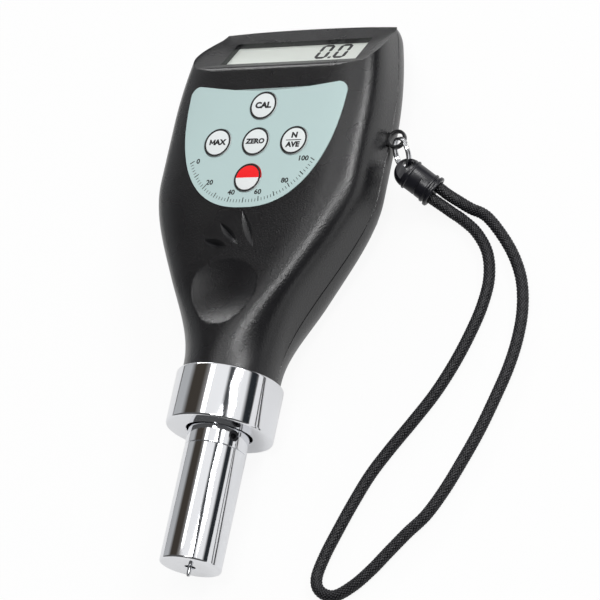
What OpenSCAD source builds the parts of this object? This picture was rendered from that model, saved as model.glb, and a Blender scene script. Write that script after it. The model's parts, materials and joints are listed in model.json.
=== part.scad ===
// Hand-held digital durometer, lying on its back.
// X points to the strap side, Y to the display, Z out of the keypad.
// The origin is the middle of the flat back, under the middle row of keys.

/* [Housing] */
// Length of the housing from the collar to the display end
body_len = 107.5; // [104:0.5:112]
// Width of the housing at its widest
body_w = 65; // [63:0.5:70]
// Thickness of the housing over the keypad
body_t = 28; // [27:0.25:31]
// Distance from the origin to the display end
head_y = 42.2; // [41:0.2:44]
// Diameter of the round neck
neck_d = 26.8; // [25.6:0.1:28]
// Length over which the neck flares to the full width
flare_len = 53; // [46:1:58]
// Wall thickness of both shells
wall = 2.2; // [1.8:0.1:2.6]
// Height of the parting plane above the back
part_h = 12.6; // [11.8:0.1:13.2]
// Height of the sensor axis above the back
axis_h = 15; // [14.9:0.1:16]
// Diameter of the thumb rest dished into the neck
thumb_d = 20; // [14:0.5:22]
// Depth of the thumb rest
thumb_depth = 1.1; // [0.4:0.1:1.4]

/* [Display] */
// Angle between the window and the back
window_tilt = 33.4; // [30:0.2:36]
// Distance from the side of the housing at its widest to the window
window_side = 10.7; // [10.5:0.1:13]
// Height of the window along its slope
window_h = 11.3; // [9:0.1:12]
// Thickness of the clear lens
lens_t = 0.9; // [0.7:0.1:1]
// Thickness of the liquid crystal panel
panel_t = 2; // [1.4:0.1:2.4]

/* [Keys] */
// Diameter of a key cap
key_d = 8.4; // [7:0.1:9]
// Spacing of the keys across the gauge
key_dx = 12.2; // [11:0.1:13]
// Spacing of the keys along the gauge
key_dy = 10.85; // [10.2:0.05:11.5]
// Travel of a key
key_travel = 0.5; // [0.3:0.05:0.6]
// Width of the keypad film at its top
film_w = 50.2; // [47:0.2:51]
// Length of the keypad film
film_len = 37.3; // [35:0.1:37.6]
// Thickness of the keypad film
film_t = 0.4; // [0.3:0.05:0.6]

/* [Sensor] */
// Diameter of the barrel and its pressure foot
barrel_d = 16.8; // [16:0.1:18]
// Length of the barrel that shows below the collar
barrel_out = 37.7; // [36:0.1:42]
// Length of the sleeve that carries the pressure foot
sleeve_len = 32.7; // [31:0.1:33.5]
// Diameter of the collar
collar_d = 29.4; // [28.8:0.1:29.7]
// Length of the collar
collar_len = 15; // [13:0.5:17]
// Diameter of the hole in the pressure foot
foot_hole_d = 3; // [2.4:0.1:3.6]
// Diameter of the indenter shank
indenter_d = 1.25; // [1:0.05:1.5]
// Diameter of the flat at the indenter tip
tip_d = 0.79; // [0.5:0.01:0.9]
// Free height of the indenter below the foot
indenter_out = 2.5; // [2:0.1:2.6]
// Diameter of the plunger in its guide
plunger_d = 5; // [4.4:0.1:5.4]
// Diameter of the set screw
set_screw_d = 3; // [2.5:0.5:4]

/* [Battery] */
// Diameter of one cell
cell_d = 10.5; // [10.2:0.1:10.7]
// Length of one cell with its contact
cell_len = 44.5; // [42:0.1:45]
// Thickness of the battery door
door_t = 2; // [1.8:0.1:2.1]

/* [Strap] */
// Diameter of the braided cord
cord_d = 3.3; // [3:0.1:3.4]
// Mean diameter of the split ring
ring_d = 8.3; // [8:0.1:8.6]
// Thickness of the split ring across both turns
ring_h = 1.5; // [1:0.1:1.6]
// Radial thickness of the split ring
ring_t = 0.7; // [0.5:0.05:0.8]
// Diameter of the ferrule body
ferrule_d = 8; // [7.8:0.1:8.4]

/* [Hidden] */
$fn = 64;

// Clearances: pressed or bonded fit, running fit, loose fit
press = 0.02;
run = 0.05;
loose = 0.15;

// Places along the gauge
y_neck = head_y - body_len;
y_collar = y_neck - collar_len;
y_foot = y_collar - barrel_out;
neck_r = neck_d / 2;
barrel_r = barrel_d / 2;
collar_r = collar_d / 2;

// Housing form
flare_y = y_neck + 3.3;
wide_y = 8;
head_taper = 0.0047;
round_len = 26;
front_power = 5;
rear_power = 2.4;
rear_sag = 1.9;
end_r = 5;
head_arc_r = 330;
collar_floor = 3.2;
neck_end = y_collar + collar_floor + 0.1;

// Display places: middle of the window and the plane round it
window_y = head_y - 10;
window_w = body_w - 2 * window_side;
window_z = axis_h + 3.4;
bezel_tilt = 40;
lip_y = head_y - 18.2;
lip_z = body_t - 0.6;
bezel_w = body_w - 6;
bezel_h = 24;
plate_t = 1.5;
frame_wall = 1.2;
frame_gap = 0.2;
strip_t = 1.6;
lcd_w = window_w + 2.6;
lcd_h = window_h + 3.7;
lcd_board_t = 1.2;
frame_w = lcd_w + 2 * (frame_gap + frame_wall);
frame_h = lcd_h + 2 * (frame_gap + frame_wall);

// Stack under the keys
key_r = key_d / 2;
key_proud = 0.3;
flange_r = key_r + 0.8;
flange_t = 1;
board_t = 1.6;
board_z = 17;
switch_h = 3.5;
switch_w = 6;
post_r = 1.5;
board_half = 22.6;
board_top_y = 18;
board_low_y = -33;
film_top = 17.7;
film_dip = 2.2;
film_power = 2.4;
film_corner = 2.8;

// Battery bay
cells = 4;
door_w = body_w - 21;
cell_pitch = cell_d + 0.1;
cell_z = door_t + 0.3 + cell_d / 2;
spring_room = 2.5;
bay_high = window_y - 9.7;
bay_low = bay_high - cell_len - 2 * spring_room;
bay_half = cells * cell_pitch / 2 + 0.5;
rail_top = door_t + 0.85;
rail_h = 0.7;
rail_out = 1.2;
rail_in = 1.2;
deck_h = rail_top + 1.35;
holder_wall = 1.2;

// Case screws
screw_x = body_w / 2 - 6;
screw_y = 14;
screw_r = 1.1;
head_r = 2.2;
head_seat = 6;
boss_r = 3;
screw_len = 13;

// Sensor places, counted from the pressure foot
foot_t = 3.2;
sleeve_bore = 5.3;
spigot_r = 6.6;
spigot_len = 6;
bush_top = foot_t + 6.8;
flange_low = bush_top + 0.1;
stop_t = 1.5;
stop_r = 4.6;
stem_r = 2;
spring_low = flange_low + stop_t;
adjuster_low = sleeve_len + 0.5;
adjuster_t = 4;
coil_low = sleeve_len + 7.3;
coil_len = 18;
core_low = coil_low + 3;
core_len = 10;
hub_flange = barrel_out + 8.3;
hub_flange_t = 3;
hub_flange_r = barrel_r + 2.1;
hub_stem_r = 7.2;
hub_top = coil_low + coil_len + 2;
coil_r = 5.55;
screw_at = sleeve_len + 3.1;
screw_angle = 27.7;

// Strap places: eye of the anchor, ring and ferrule directions
eye = [body_w / 2 + 2.6, 6.4, part_h + 0.75];
eye_t = 1.3;
eye_r = 2.8;
eye_hole = 1.95;
eye_half = 1.9;
ring_way = [0.4, -0.85, -0.33];
ring_out = ring_way / norm(ring_way);
ring_turn = cross(ring_out, [0.679, 0.126, 0.723]);
ring_axis = ring_turn / norm(ring_turn);
ring_along = cross(ring_axis, ring_out);
hang = eye + ring_d * ring_out;
ferrule_len = 10.2;
ferrule_off = 1.2;
ferrule_turn = -31;
ferrule_drop = 30;
ferrule_flat = cos(ferrule_drop) * [cos(ferrule_turn), sin(ferrule_turn), 0];
ferrule_way = ferrule_flat - [0, 0, sin(ferrule_drop)];
ferrule_side = ring_along - (ring_along * ferrule_way) * ferrule_way;
ferrule_x = ferrule_side / norm(ferrule_side);
level = [-sin(ferrule_turn), cos(ferrule_turn), 0];
strand_x = [level * ferrule_x, level * cross(ferrule_way, ferrule_x), 0];
strand_gap = 1.75;
strand_in = 7.4;
eye_tab = 2.8;

// Route of the cord for an eye at 35.1 and 6.4: out along one strand, round the loop and back
cord_trace = [
    [44.71, -3.68, 7.19], [46.12, -4.53, 6.24], [47.09, -5.11, 5.59], [48.9, -6.2, 4.3],
    [51.6, -7.5, 2.6], [55.2, -9.3, 1.75], [60.5, -11.7, 1.7],
    [66.5, -17.5, 1.7], [71.5, -24, 1.7], [75, -31, 1.7], [76.8, -39, 1.7], [77, -47, 1.7],
    [76, -55, 1.7], [74, -63, 1.7], [71, -73, 1.7], [67.5, -82, 1.7], [64, -90, 1.7],
    [60, -97, 1.7], [55.5, -102, 1.7], [51, -107.5, 1.7], [47, -112.5, 1.7], [42.5, -117, 1.7],
    [37.5, -120, 1.7], [33, -119, 1.7], [31, -115.5, 1.7], [32, -109.5, 1.7], [34.5, -102, 1.7],
    [37.5, -94, 1.7], [41, -86, 1.7], [45.5, -78.5, 1.7], [50.5, -71, 1.7], [55.5, -63, 1.7],
    [59.5, -54.5, 1.7], [62.5, -46, 1.7], [64.5, -38, 1.7], [65, -30, 1.7], [63, -22.5, 1.7],
    [58.5, -16.5, 1.7], [53.4, -12.6, 1.75], [50.4, -10.9, 2.6], [47.9, -9.5, 4.1],
    [45.28, -8.11, 5.59], [44.32, -7.53, 6.24], [42.91, -6.68, 7.19]
];
cord_route = [for (p = cord_trace) p + [eye[0] - 35.1, eye[1] - 6.4, 0]];
cord_sides = 8;
cord_cuts = 2;

// Smooth step from 0 to 1
function ease(t) = let (u = min(1, max(0, t))) u * u * (3 - 2 * u);

// A power that keeps its sign
function spow(v, e) = sign(v) * pow(abs(v), e);

// Half the width of the housing at y
function half_w(y) = neck_r + (body_w / 2 - neck_r) * ease((y - flare_y) / flare_len)
    - head_taper * pow(max(0, y - wide_y), 2);

// How far the section at y has gone from round to rectangular
function boxy(y) = ease((y - y_neck - 1) / round_len);

// How much the rounded display end has pulled the back in at y
function end_pull(y, last) = let (t = min(1, max(0, (y - last + end_r) / end_r)))
    end_r * (1 - sqrt(1 - t * t));

// Height of the keypad face at x, y
function face_z(x, y) = part_h
    + (body_t - part_h) * pow(max(0, 1 - pow(abs(x) / half_w(y), front_power)), 1 / front_power);

// One station of the front half, inset by d, closed along the parting plane or below it
function front_ring(y, d, m, skirt) = let (
    w = half_w(y) - d,
    b = boxy(y),
    r = neck_r - d,
    low = asin((axis_h - part_h) / r)
) concat(
    skirt > 0 ? [[w, y, part_h - skirt]] : [],
    [for (i = [0:m]) let (
        a = 180 * i / m,
        p = -low + (180 + 2 * low) * i / m,
        x = (1 - b) * w * cos(p) + b * w * spow(cos(a), 2 / front_power),
        z = (1 - b) * (axis_h + r * sin(p))
            + b * (part_h + (body_t - part_h - d) * pow(max(0, sin(a)), 2 / front_power))
    ) [x, y, z]],
    skirt > 0 ? [[-w, y, part_h - skirt]] : []
);

// One station of the rear half, inset by d, flat where it rests
function rear_ring(y, d, m, skirt, last) = let (
    e = end_pull(y, last),
    w = half_w(y) - d - e / 2,
    b = boxy(y),
    r = neck_r - d,
    low = asin((axis_h - part_h) / r)
) concat(
    skirt > 0 ? [[-w, y, part_h + skirt]] : [],
    [for (i = [m:-1:0]) let (
        a = 180 * i / m,
        p = -low - (180 - 2 * low) * i / m,
        x = (1 - b) * w * cos(p) + b * w * spow(cos(a), 2 / rear_power),
        z = (1 - b) * (axis_h + r * sin(p))
            + b * (part_h - (part_h + rear_sag - d) * pow(max(0, sin(a)), 2 / rear_power))
    ) [x, y, max(z, d + e)]],
    skirt > 0 ? [[w, y, part_h + skirt]] : []
);

// Stations from y0 to y1, closer together over the rounded end
function stations(y0, y1, n) = concat(
    [for (k = [0:n]) y0 + (y1 - end_r - y0) * k / n],
    [for (a = [30:30:90]) y1 - end_r + end_r * sin(a)]
);

// Skin over a list of rings that all have the same number of points, its ends closed in one face or in strips
module skin(rings, strips = false) {
    n = len(rings);
    m = len(rings[0]);
    half = floor((m - 3) / 2);
    last = (n - 1) * m;
    first_end = strips
        ? [for (i = [0:half], h = [0, 1])
            h == 0 ? [m - 1 - i, i + 1, i] : [m - 1 - i, m - 2 - i, i + 1]]
        : [[for (j = [m - 1:-1:0]) j]];
    last_end = [for (f = first_end) [for (j = [len(f) - 1:-1:0]) last + f[j]]];
    sides = [for (k = [0:n - 2], j = [0:m - 1], h = [0, 1]) let (
        a = k * m + j,
        b = k * m + (j + 1) % m
    ) h == 0 ? [a, b, b + m] : [a, b + m, a + m]];
    polyhedron(points = [for (r = rings) each r], faces = concat(first_end, last_end, sides));
}

// Puts what follows at the middle of the window, with Z out of the glass
module at_window() {
    translate([0, window_y, window_z]) rotate([-window_tilt, 0, 0]) children();
}

// A block centred in X and Y, from z0 to z1
module slab(w, h, z0, z1) {
    translate([-w / 2, -h / 2, z0]) cube([w, h, z1 - z0]);
}

// A block from one corner to the other
module block(from, to) {
    translate(from) cube(to - from);
}

// Turns a profile of radius and distance from the foot about the sensor axis
module turned() {
    translate([0, y_foot, axis_h]) rotate([-90, 0, 0]) rotate_extrude() children();
}

// A ring or disc of the turned profile
module band(r0, r1, z0, z1) {
    translate([r0, z0]) square([r1 - r0, z1 - z0]);
}

// Trims the display end to a shallow arc
module head_arc() {
    translate([0, head_y - head_arc_r, -1]) cylinder(r = head_arc_r, h = body_t + 20, $fn = 400);
}

// Removes everything in front of the sloping display face
module bezel_cut() {
    translate([0, lip_y, lip_z]) rotate([-bezel_tilt, 0, 0]) slab(120, 120, 0, 60);
}

// Four bevels that lead from the edge of the display face down to the window
module bezel_funnel() {
    hull() {
        translate([0, lip_y, lip_z]) rotate([-bezel_tilt, 0, 0])
            translate([0, bezel_h / 2 - 0.8, 0]) slab(bezel_w, bezel_h, 0, 1);
        at_window() slab(window_w, window_h, 0, 0.1);
    }
}

// A leaf-shaped groove, pointed at both ends
module leaf(len, w) {
    r = (len * len / 4 + w * w / 4) / w;
    rotate([90, 0, 0]) rotate_extrude() intersection() {
        translate([w / 2 - r, 0]) circle(r, $fn = 200);
        translate([0, -len / 2]) square([w, len]);
    }
}

// The three grooves that fan out above the thumb rest
module thumb_leaves() {
    leaf_w = 2.6;
    for (g = [[3.5, -26, 12.4, 28.5], [-2.1, -27.3, 9.9, 48.5], [-5.9, -30.1, 8.2, 76]])
        translate([g[0], g[1], body_t + 0.35]) rotate([0, 0, g[3]]) leaf(g[2], leaf_w);
}

module thumb_rest() {
    r = (thumb_d * thumb_d / 4 + thumb_depth * thumb_depth) / (2 * thumb_depth);
    translate([0, y_neck + 20.9, body_t + r - thumb_depth]) sphere(r, $fn = 120);
}

// Film on the keypad, from low to high above the face, grown by g all round
module film_sheet(low, high, g) {
    rows = 14;
    cols = 12;
    w = film_w / 2 + g;
    drop = film_len + 2 * g;
    c = film_corner;
    falls = concat(
        [for (k = [0:rows - 1]) drop * pow(sin(86.5 * (1 - k / rows)), 2 / film_power)],
        [c, 0.6 * c, 0.3 * c, 0.1 * c, 0]
    );
    rings = [for (t = falls) let (
        bow = 1 - pow(t / drop, film_power),
        round_in = t < c ? c - sqrt(c * c - (c - t) * (c - t)) : 0,
        half = w * pow(bow, 1 / film_power) - round_in,
        y0 = film_top + g - t,
        dip = film_dip * bow * bow
    ) concat(
        [for (i = [0:cols]) let (
            x = half * (1 - 2 * i / cols),
            y = y0 - dip * (1 - pow(x / half, 2))
        ) [x, y, face_z(x, y) + high]],
        [for (i = [cols:-1:0]) let (
            x = half * (1 - 2 * i / cols),
            y = y0 - dip * (1 - pow(x / half, 2))
        ) [x, y, face_z(x, y) + low]]
    )];
    skin(rings, strips = true);
}

// Middle of each key: calibrate, maximum, zero, average, power
key_at = [[0, key_dy], [-key_dx, 0], [0, 0], [key_dx, 0], [0, -key_dy]];

module at_keys() {
    for (k = key_at) translate([k[0], k[1], 0]) children();
}

module at_case_screws() {
    for (x = [-screw_x, screw_x], y = [-screw_y, screw_y]) translate([x, y, 0]) children();
}

board_posts = [[-18.5, 13.5], [18.5, 13.5], [-15.5, -27], [15.5, -27]];

module at_board_posts() {
    for (p = board_posts) translate([p[0], p[1], 0]) children();
}

// Thick ring inside the neck that grips the flange of the sensor hub
module neck_grip() {
    turned() difference() {
        band(barrel_r + loose, neck_r, barrel_out + collar_floor - 1, hub_flange + hub_flange_t + 3);
        band(0, hub_flange_r + run, hub_flange - run, hub_flange + hub_flange_t + run);
    }
}

// What stands inside the front shell
module front_ribs() {
    at_case_screws() cylinder(r = boss_r, h = body_t);
    at_board_posts() translate([0, 0, board_z + board_t]) cylinder(r = 2.4, h = body_t);
    difference() {
        at_keys() translate([0, 0, body_t - wall - 1.2]) cylinder(r = flange_r + 1.2, h = 4);
        at_keys() cylinder(r = flange_r + 2 * loose, h = 2 * body_t);
    }
    neck_grip();
}

module front_shell() {
    color("#202124") difference() {
        intersection() {
            skin([for (y = stations(neck_end, head_y + 0.6, 26)) front_ring(y, 0, 24, 0)]);
            head_arc();
        }
        bezel_cut();
        bezel_funnel();
        at_window() slab(window_w, window_h, -plate_t - 1, 1);
        at_window() slab(lens_w + 2 * loose, lens_h + 2 * loose, -plate_t - 1, lens_t - plate_t);
        difference() {
            skin([for (y = stations(neck_end - 1, head_y - wall, 16)) front_ring(y, wall, 14, 1)]);
            at_window() slab(120, 120, -plate_t, 60);
            front_ribs();
        }
        at_keys() cylinder(r = key_r + loose, h = 2 * body_t);
        at_keys() translate([0, 0, body_t - wall - 2]) cylinder(r = flange_r + 2 * loose, h = 2.05);
        at_case_screws() cylinder(r = screw_r + press, h = part_h + screw_len - 2);
        at_board_posts() cylinder(r = 0.9 + press, h = board_z + board_t + 5);
        film_sheet(0.07 - film_t, 3, 0.1);
        thumb_rest();
        thumb_leaves();
        anchor_slot();
    }
}

// Slot in the side wall that lets the strap anchor through
module anchor_slot() {
    half = eye_half + loose;
    block([eye[0] - 8, eye[1] - half, part_h - 1], [eye[0] + 2, eye[1] + half, eye[2] + eye_t / 2 + 0.1]);
}

// Room that the battery door fills, with its side grooves, grown by g
module door_room(g) {
    half = door_w / 2 + g;
    end = head_y + 10;
    low = bay_low - 2.5 - g;
    block([-half, low, -1], [half, end, door_t + g]);
    for (s = [-1, 1]) {
        inner = s * (door_w / 2 - rail_in - g);
        outer = s * half;
        block([min(inner, outer), low, -1], [max(inner, outer), end, rail_top + g]);
        tip = s * (half + rail_out);
        block([min(inner, tip), low, rail_top - rail_h - g], [max(inner, tip), end, rail_top + g]);
    }
}

// What stands inside the rear shell
module rear_ribs() {
    at_case_screws() cylinder(r = boss_r, h = part_h);
    for (s = [-1, 1]) {
        rail_a = s * (door_w / 2 - 2);
        rail_b = s * (door_w / 2 + rail_out + 2);
        block([min(rail_a, rail_b), bay_low - 6, 0], [max(rail_a, rail_b), head_y, deck_h]);
    }
    block([-door_w / 2, bay_high, 0], [door_w / 2, head_y, deck_h]);
    block([-door_w / 2, bay_low - 6, 0], [door_w / 2, bay_low, deck_h]);
    neck_grip();
}

module rear_shell() {
    color("#1c1d20") difference() {
        intersection() {
            skin([for (y = stations(neck_end, head_y + 0.6, 26)) rear_ring(y, 0, 24, 0, head_y + 0.6)]);
            head_arc();
        }
        bezel_cut();
        difference() {
            skin([for (y = stations(neck_end - 1, head_y - wall, 16))
                rear_ring(y, wall, 14, 1, head_y - wall)]);
            rear_ribs();
        }
        door_room(loose);
        block([-door_w / 2 - loose, bay_low, -1], [door_w / 2 + loose, bay_high, deck_h + 1]);
        at_case_screws() {
            cylinder(r = screw_r + loose, h = part_h + 1);
            cylinder(r = head_r + loose, h = head_seat);
        }
    }
}

// Sliding door, with a tongue along each side and ribs for the thumb
module battery_door() {
    color("#1c1d20") difference() {
        intersection() {
            skin([for (y = stations(neck_end, head_y + 0.6, 26)) rear_ring(y, 0, 24, 0, head_y + 0.6)]);
            head_arc();
            door_room(0);
        }
        for (i = [0:5]) translate([0, head_y - 14 - 1.6 * i, 0]) rotate([0, 90, 0])
            cylinder(r = 0.45, h = 14, center = true, $fn = 24);
    }
}

// Pan-head screw standing on its head
module pan_screw(r, head, head_t, len) {
    rotate_extrude() union() {
        square([head, head_t]);
        square([r, len + head_t]);
    }
}

module case_screws() {
    color("#8a8d92") at_case_screws() translate([0, 0, head_seat - 1.8]) difference() {
        pan_screw(screw_r, head_r, 1.8, screw_len);
        for (a = [0, 90]) rotate([0, 0, a]) slab(2.6, 0.6, -1, 0.9);
    }
}

module keypad_film() {
    color("#b9cdcc") difference() {
        film_sheet(0.1 - film_t, 0.1, 0);
        at_keys() cylinder(r = key_r + loose, h = 2 * body_t);
    }
}

// One key: cap, stop flange and the post that reaches into its switch
module key(k) {
    top = body_t + key_proud;
    stop = body_t - wall - 0.1;
    translate([key_at[k][0], key_at[k][1], 0]) rotate_extrude() union() {
        band(0, key_r, stop, top - 0.25);
        polygon([[0, top - 0.3], [key_r, top - 0.3], [key_r, top - 0.2], [key_r - 0.2, top], [0, top]]);
        band(0, flange_r, stop - flange_t, stop);
        band(0, post_r, board_z + board_t + 1.6, stop - flange_t);
    }
}

module key_cal() { color("white") key(0); }
module key_max() { color("white") key(1); }
module key_zero() { color("white") key(2); }
module key_average() { color("white") key(3); }
module key_power() { color("crimson") key(4); }

// Square push switches under the keys
module tact_switches() {
    color("#33363a") at_keys() difference() {
        union() {
            slab(switch_w, switch_w, board_z + board_t, board_z + board_t + switch_h - 0.6);
            translate([0, 0, board_z + board_t]) cylinder(r = 2.6, h = switch_h);
        }
        translate([0, 0, board_z + board_t + 0.8]) cylinder(r = post_r + run, h = switch_h);
    }
}

// Circuit board, narrower towards the neck, with its processor and a sensor socket
module main_board() {
    color("#1f6b3a") difference() {
        union() {
            translate([0, 0, board_z]) linear_extrude(board_t) polygon([
                [-18, board_low_y], [18, board_low_y], [board_half, -20], [board_half, board_top_y],
                [-board_half, board_top_y], [-board_half, -20]
            ]);
            translate([0, -20.5, 0]) slab(9, 7, board_z + board_t, board_z + board_t + 1.4);
            translate([0, board_low_y + 3.5, 0]) slab(8, 4, board_z + board_t, board_z + board_t + 3);
        }
        at_board_posts() cylinder(r = 1.2, h = body_t);
        translate([0, board_low_y + 1.5, board_z + board_t + 1]) slab(5.4, 2, 0, 1.2);
    }
}

module board_screws() {
    color("#9a9da2") at_board_posts() translate([0, 0, board_z - 1.2]) pan_screw(0.9, 1.9, 1.2, 5);
}

lens_w = window_w + 1.6;
lens_h = window_h + 1.6;

module lcd_lens() {
    color("#dfe6e4", 0.4) at_window() slab(lens_w, lens_h, -plate_t, -plate_t + lens_t);
}

module lcd_panel() {
    color("#c8ccc4") at_window() slab(lcd_w, lcd_h, -plate_t - panel_t, -plate_t);
}

// Frame that holds the panel square and carries its board
module lcd_frame() {
    depth = panel_t + strip_t;
    color("#e8e8e4") at_window() difference() {
        slab(frame_w, frame_h, -plate_t - depth, -plate_t);
        slab(lcd_w + 2 * frame_gap, lcd_h + 2 * frame_gap, -plate_t - depth - 1, 1);
    }
}

// Elastomer strips between the panel and its board
module contact_strips() {
    color("#d08a3a") at_window() for (s = [-1, 1])
        translate([0, s * (lcd_h / 2 - 1.2), 0])
            slab(lcd_w - 4, 1.6, -plate_t - panel_t - strip_t, -plate_t - panel_t);
}

module lcd_board() {
    top = -plate_t - panel_t - strip_t;
    color("#1f6b3a") at_window()
        slab(frame_w, frame_h, top - lcd_board_t, top);
}

// Flat cable from the display board to the main board
module display_flex() {
    half = lcd_h / 2 + frame_gap + frame_wall;
    drop = plate_t + panel_t + strip_t + lcd_board_t;
    c = cos(window_tilt);
    s = sin(window_tilt);
    low = [window_y - half * c - drop * s, window_z + half * s - drop * c];
    high = [low[0] + 3 * c, low[1] - 3 * s];
    flat = [board_top_y - 4, board_z];
    t = 0.3;
    color("#b5722c") translate([-9, 0, 0]) rotate([90, 0, 90]) linear_extrude(18) polygon([
        high, low, [board_top_y + 1, flat[1]], flat,
        [flat[0], flat[1] - t], [board_top_y + 1.2, flat[1] - t],
        [low[0], low[1] - t * 1.3], [high[0], high[1] - t * 1.3]
    ]);
}

// Open box over the cells, with a rib between each pair
module battery_holder() {
    half = bay_half + holder_wall;
    roof = cell_z + cell_d / 2 + 0.25;
    room = wall + 2 * loose;
    color("#2b2c2f") difference() {
        intersection() {
            block([-half, bay_low - holder_wall, deck_h], [half, bay_high + holder_wall, roof + holder_wall]);
            skin([for (y = stations(bay_low - 12, head_y, 12)) rear_ring(y, room, 12, 5, head_y)]);
        }
        block([-bay_half, bay_low, deck_h - 1], [bay_half, bay_high, roof]);
    }
}

// Middle of each cell across the bay
function cell_x(i) = (i - (cells - 1) / 2) * cell_pitch;

// Which way a cell points: neighbours lie head to tail
function cell_way(i) = i % 2 == 0 ? 1 : -1;

module at_cells() {
    for (i = [0:cells - 1])
        translate([cell_x(i), (bay_low + bay_high) / 2, cell_z]) rotate([-90 * cell_way(i), 0, 0]) children();
}

module battery_cells() {
    nub = 1.2;
    color("#5a6a78") at_cells() translate([0, 0, -cell_len / 2]) rotate_extrude() union() {
        square([cell_d / 2, cell_len - nub]);
        square([1.9, cell_len]);
    }
}

// A wire of radius r along a list of points, with flat ends
module wire(points, r, sides) {
    n = len(points);
    skin([for (k = [0:n - 1]) let (
        t = points[min(k + 1, n - 1)] - points[max(k - 1, 0)],
        u = t / norm(t),
        side = cross(abs(u[2]) > 0.9 ? [1, 0, 0] : [0, 0, 1], u),
        x = side / norm(side),
        z = cross(u, x)
    ) [for (j = [sides - 1:-1:0]) points[k] + r * (cos(360 * j / sides) * x + sin(360 * j / sides) * z)]]);
}

// Points along a coil that rises from z0 to z1, closed flat at both ends
function coil_points(r0, r1, z0, z1, turns, steps) = [for (k = [0:turns * steps]) let (
    t = k / (turns * steps),
    r = r0 + (r1 - r0) * t
) [r * cos(360 * k / steps), r * sin(360 * k / steps), z0 + (z1 - z0) * t]];

module battery_springs() {
    r = 0.3;
    low = -(bay_high - bay_low) / 2 + 0.4 + r;
    color("silver") at_cells() wire(coil_points(3.2, 1.8, low, -cell_len / 2 - r - 0.1, 3, 10), r, 6);
}

// Sheet contacts at both ends of the bay
module battery_contacts() {
    half = bay_half - 0.3;
    sheet = 0.35;
    color("silver") for (y = [bay_low + 0.02, bay_high - sheet - 0.02])
        block([-half, y, cell_z - 4], [half, y + sheet, cell_z + 4]);
    color("silver") at_cells() translate([0, 0, cell_len / 2 + 0.05])
        cylinder(r = 2.6, h = spring_room - sheet - 0.07);
}

// Chromed collar that holds both shells at the neck
module sensor_collar() {
    low = barrel_out;
    high = low + collar_len;
    edge = 0.5;
    color("#d5d8dc") turned() difference() {
        polygon([
            [0, low], [collar_r - edge, low], [collar_r, low + edge],
            [collar_r, high - edge], [collar_r - edge, high], [0, high]
        ]);
        band(-1, barrel_r + 0.7, low - 1, high + 1);
        band(-1, neck_r + run, low + collar_floor, high + 1);
    }
}

// Direction of the set screw, square to the sensor axis
module at_set_screw() {
    translate([0, y_foot + screw_at, axis_h]) rotate([0, 90 - screw_angle, 0]) children();
}

// Turned hub between the sleeve and the neck
module sensor_hub() {
    edge = 0.25;
    color("#c9ccd1") difference() {
        turned() difference() {
            union() {
                polygon([
                    [0, sleeve_len], [barrel_r - edge, sleeve_len], [barrel_r, sleeve_len + edge],
                    [barrel_r, hub_flange + 1], [0, hub_flange + 1]
                ]);
                band(0, hub_flange_r, hub_flange, hub_flange + hub_flange_t);
                band(0, hub_stem_r, hub_flange, hub_top);
            }
            band(-1, spigot_r + press, sleeve_len - 1, sleeve_len + spigot_len + 0.3);
            band(-1, coil_r + press, sleeve_len, hub_top - 1.5);
            band(-1, 2.2, hub_top - 3, hub_top + 1);
        }
        at_set_screw() cylinder(r = set_screw_d / 2 + press, h = barrel_d);
    }
}

module set_screw() {
    low = spigot_r + press;
    color("#3c3e42") at_set_screw() translate([0, 0, low]) difference() {
        cylinder(r = set_screw_d / 2, h = barrel_r - 0.35 - low);
        translate([0, 0, 0.5]) cylinder(r = set_screw_d * 0.29, h = barrel_r, $fn = 6);
    }
}

// Sleeve that ends in the pressure foot
module foot_sleeve() {
    edge = 0.6;
    fine = 0.25;
    color("#d5d8dc") turned() difference() {
        union() {
            polygon([
                [0, 0], [barrel_r - edge, 0], [barrel_r, edge],
                [barrel_r, sleeve_len - fine], [barrel_r - fine, sleeve_len], [0, sleeve_len]
            ]);
            band(0, spigot_r, sleeve_len - 1, sleeve_len + spigot_len);
        }
        band(-1, foot_hole_d / 2, -1, foot_t + 1);
        band(-1, sleeve_bore, foot_t, sleeve_len + spigot_len + 1);
    }
}

module guide_bush() {
    color("#b08d57") turned() band(plunger_d / 2 + run, sleeve_bore - press, foot_t, bush_top);
}

indenter_in = foot_t + 6;

// Hardened pin with a blunt cone at its tip
module indenter() {
    r = indenter_d / 2;
    cone = (r - tip_d / 2) / tan(17.5);
    color("#8f9398") turned() polygon([
        [0, -indenter_out], [tip_d / 2, -indenter_out], [r, cone - indenter_out],
        [r, indenter_in], [0, indenter_in]
    ]);
}

// Plunger that carries the indenter, the spring seat and the transducer core
module plunger() {
    color("#b9bcc2") turned() difference() {
        union() {
            band(0, plunger_d / 2, foot_t + 1.5, flange_low + 0.5);
            band(0, stop_r, flange_low, spring_low);
            band(0, stem_r, flange_low, core_low - 2);
            band(0, 1.2, core_low - 3, core_low);
            band(0, 0.8, core_low - 1, core_low + core_len);
        }
        band(-1, indenter_d / 2 + press, 0, indenter_in);
    }
}

module transducer_core() {
    color("#6f7378") turned() band(0.8 + press, 1.6, core_low, core_low + core_len);
}

module load_spring() {
    r = 0.4;
    turns = 8;
    color("silver") translate([0, y_foot, axis_h]) rotate([-90, 0, 0])
        wire(coil_points(3.3, 3.3, spring_low + r, adjuster_low - r, turns, 12), r, 6);
}

// Threaded plug that sets the spring load, with two holes for a pin wrench
module spring_adjuster() {
    color("#b08d57") difference() {
        turned() band(stem_r + run, sleeve_bore - press, adjuster_low, adjuster_low + adjuster_t);
        for (s = [-1, 1]) translate([s * 3.7, y_foot + adjuster_low + 2, axis_h]) rotate([-90, 0, 0])
            cylinder(r = 0.7, h = adjuster_t);
    }
}

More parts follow.
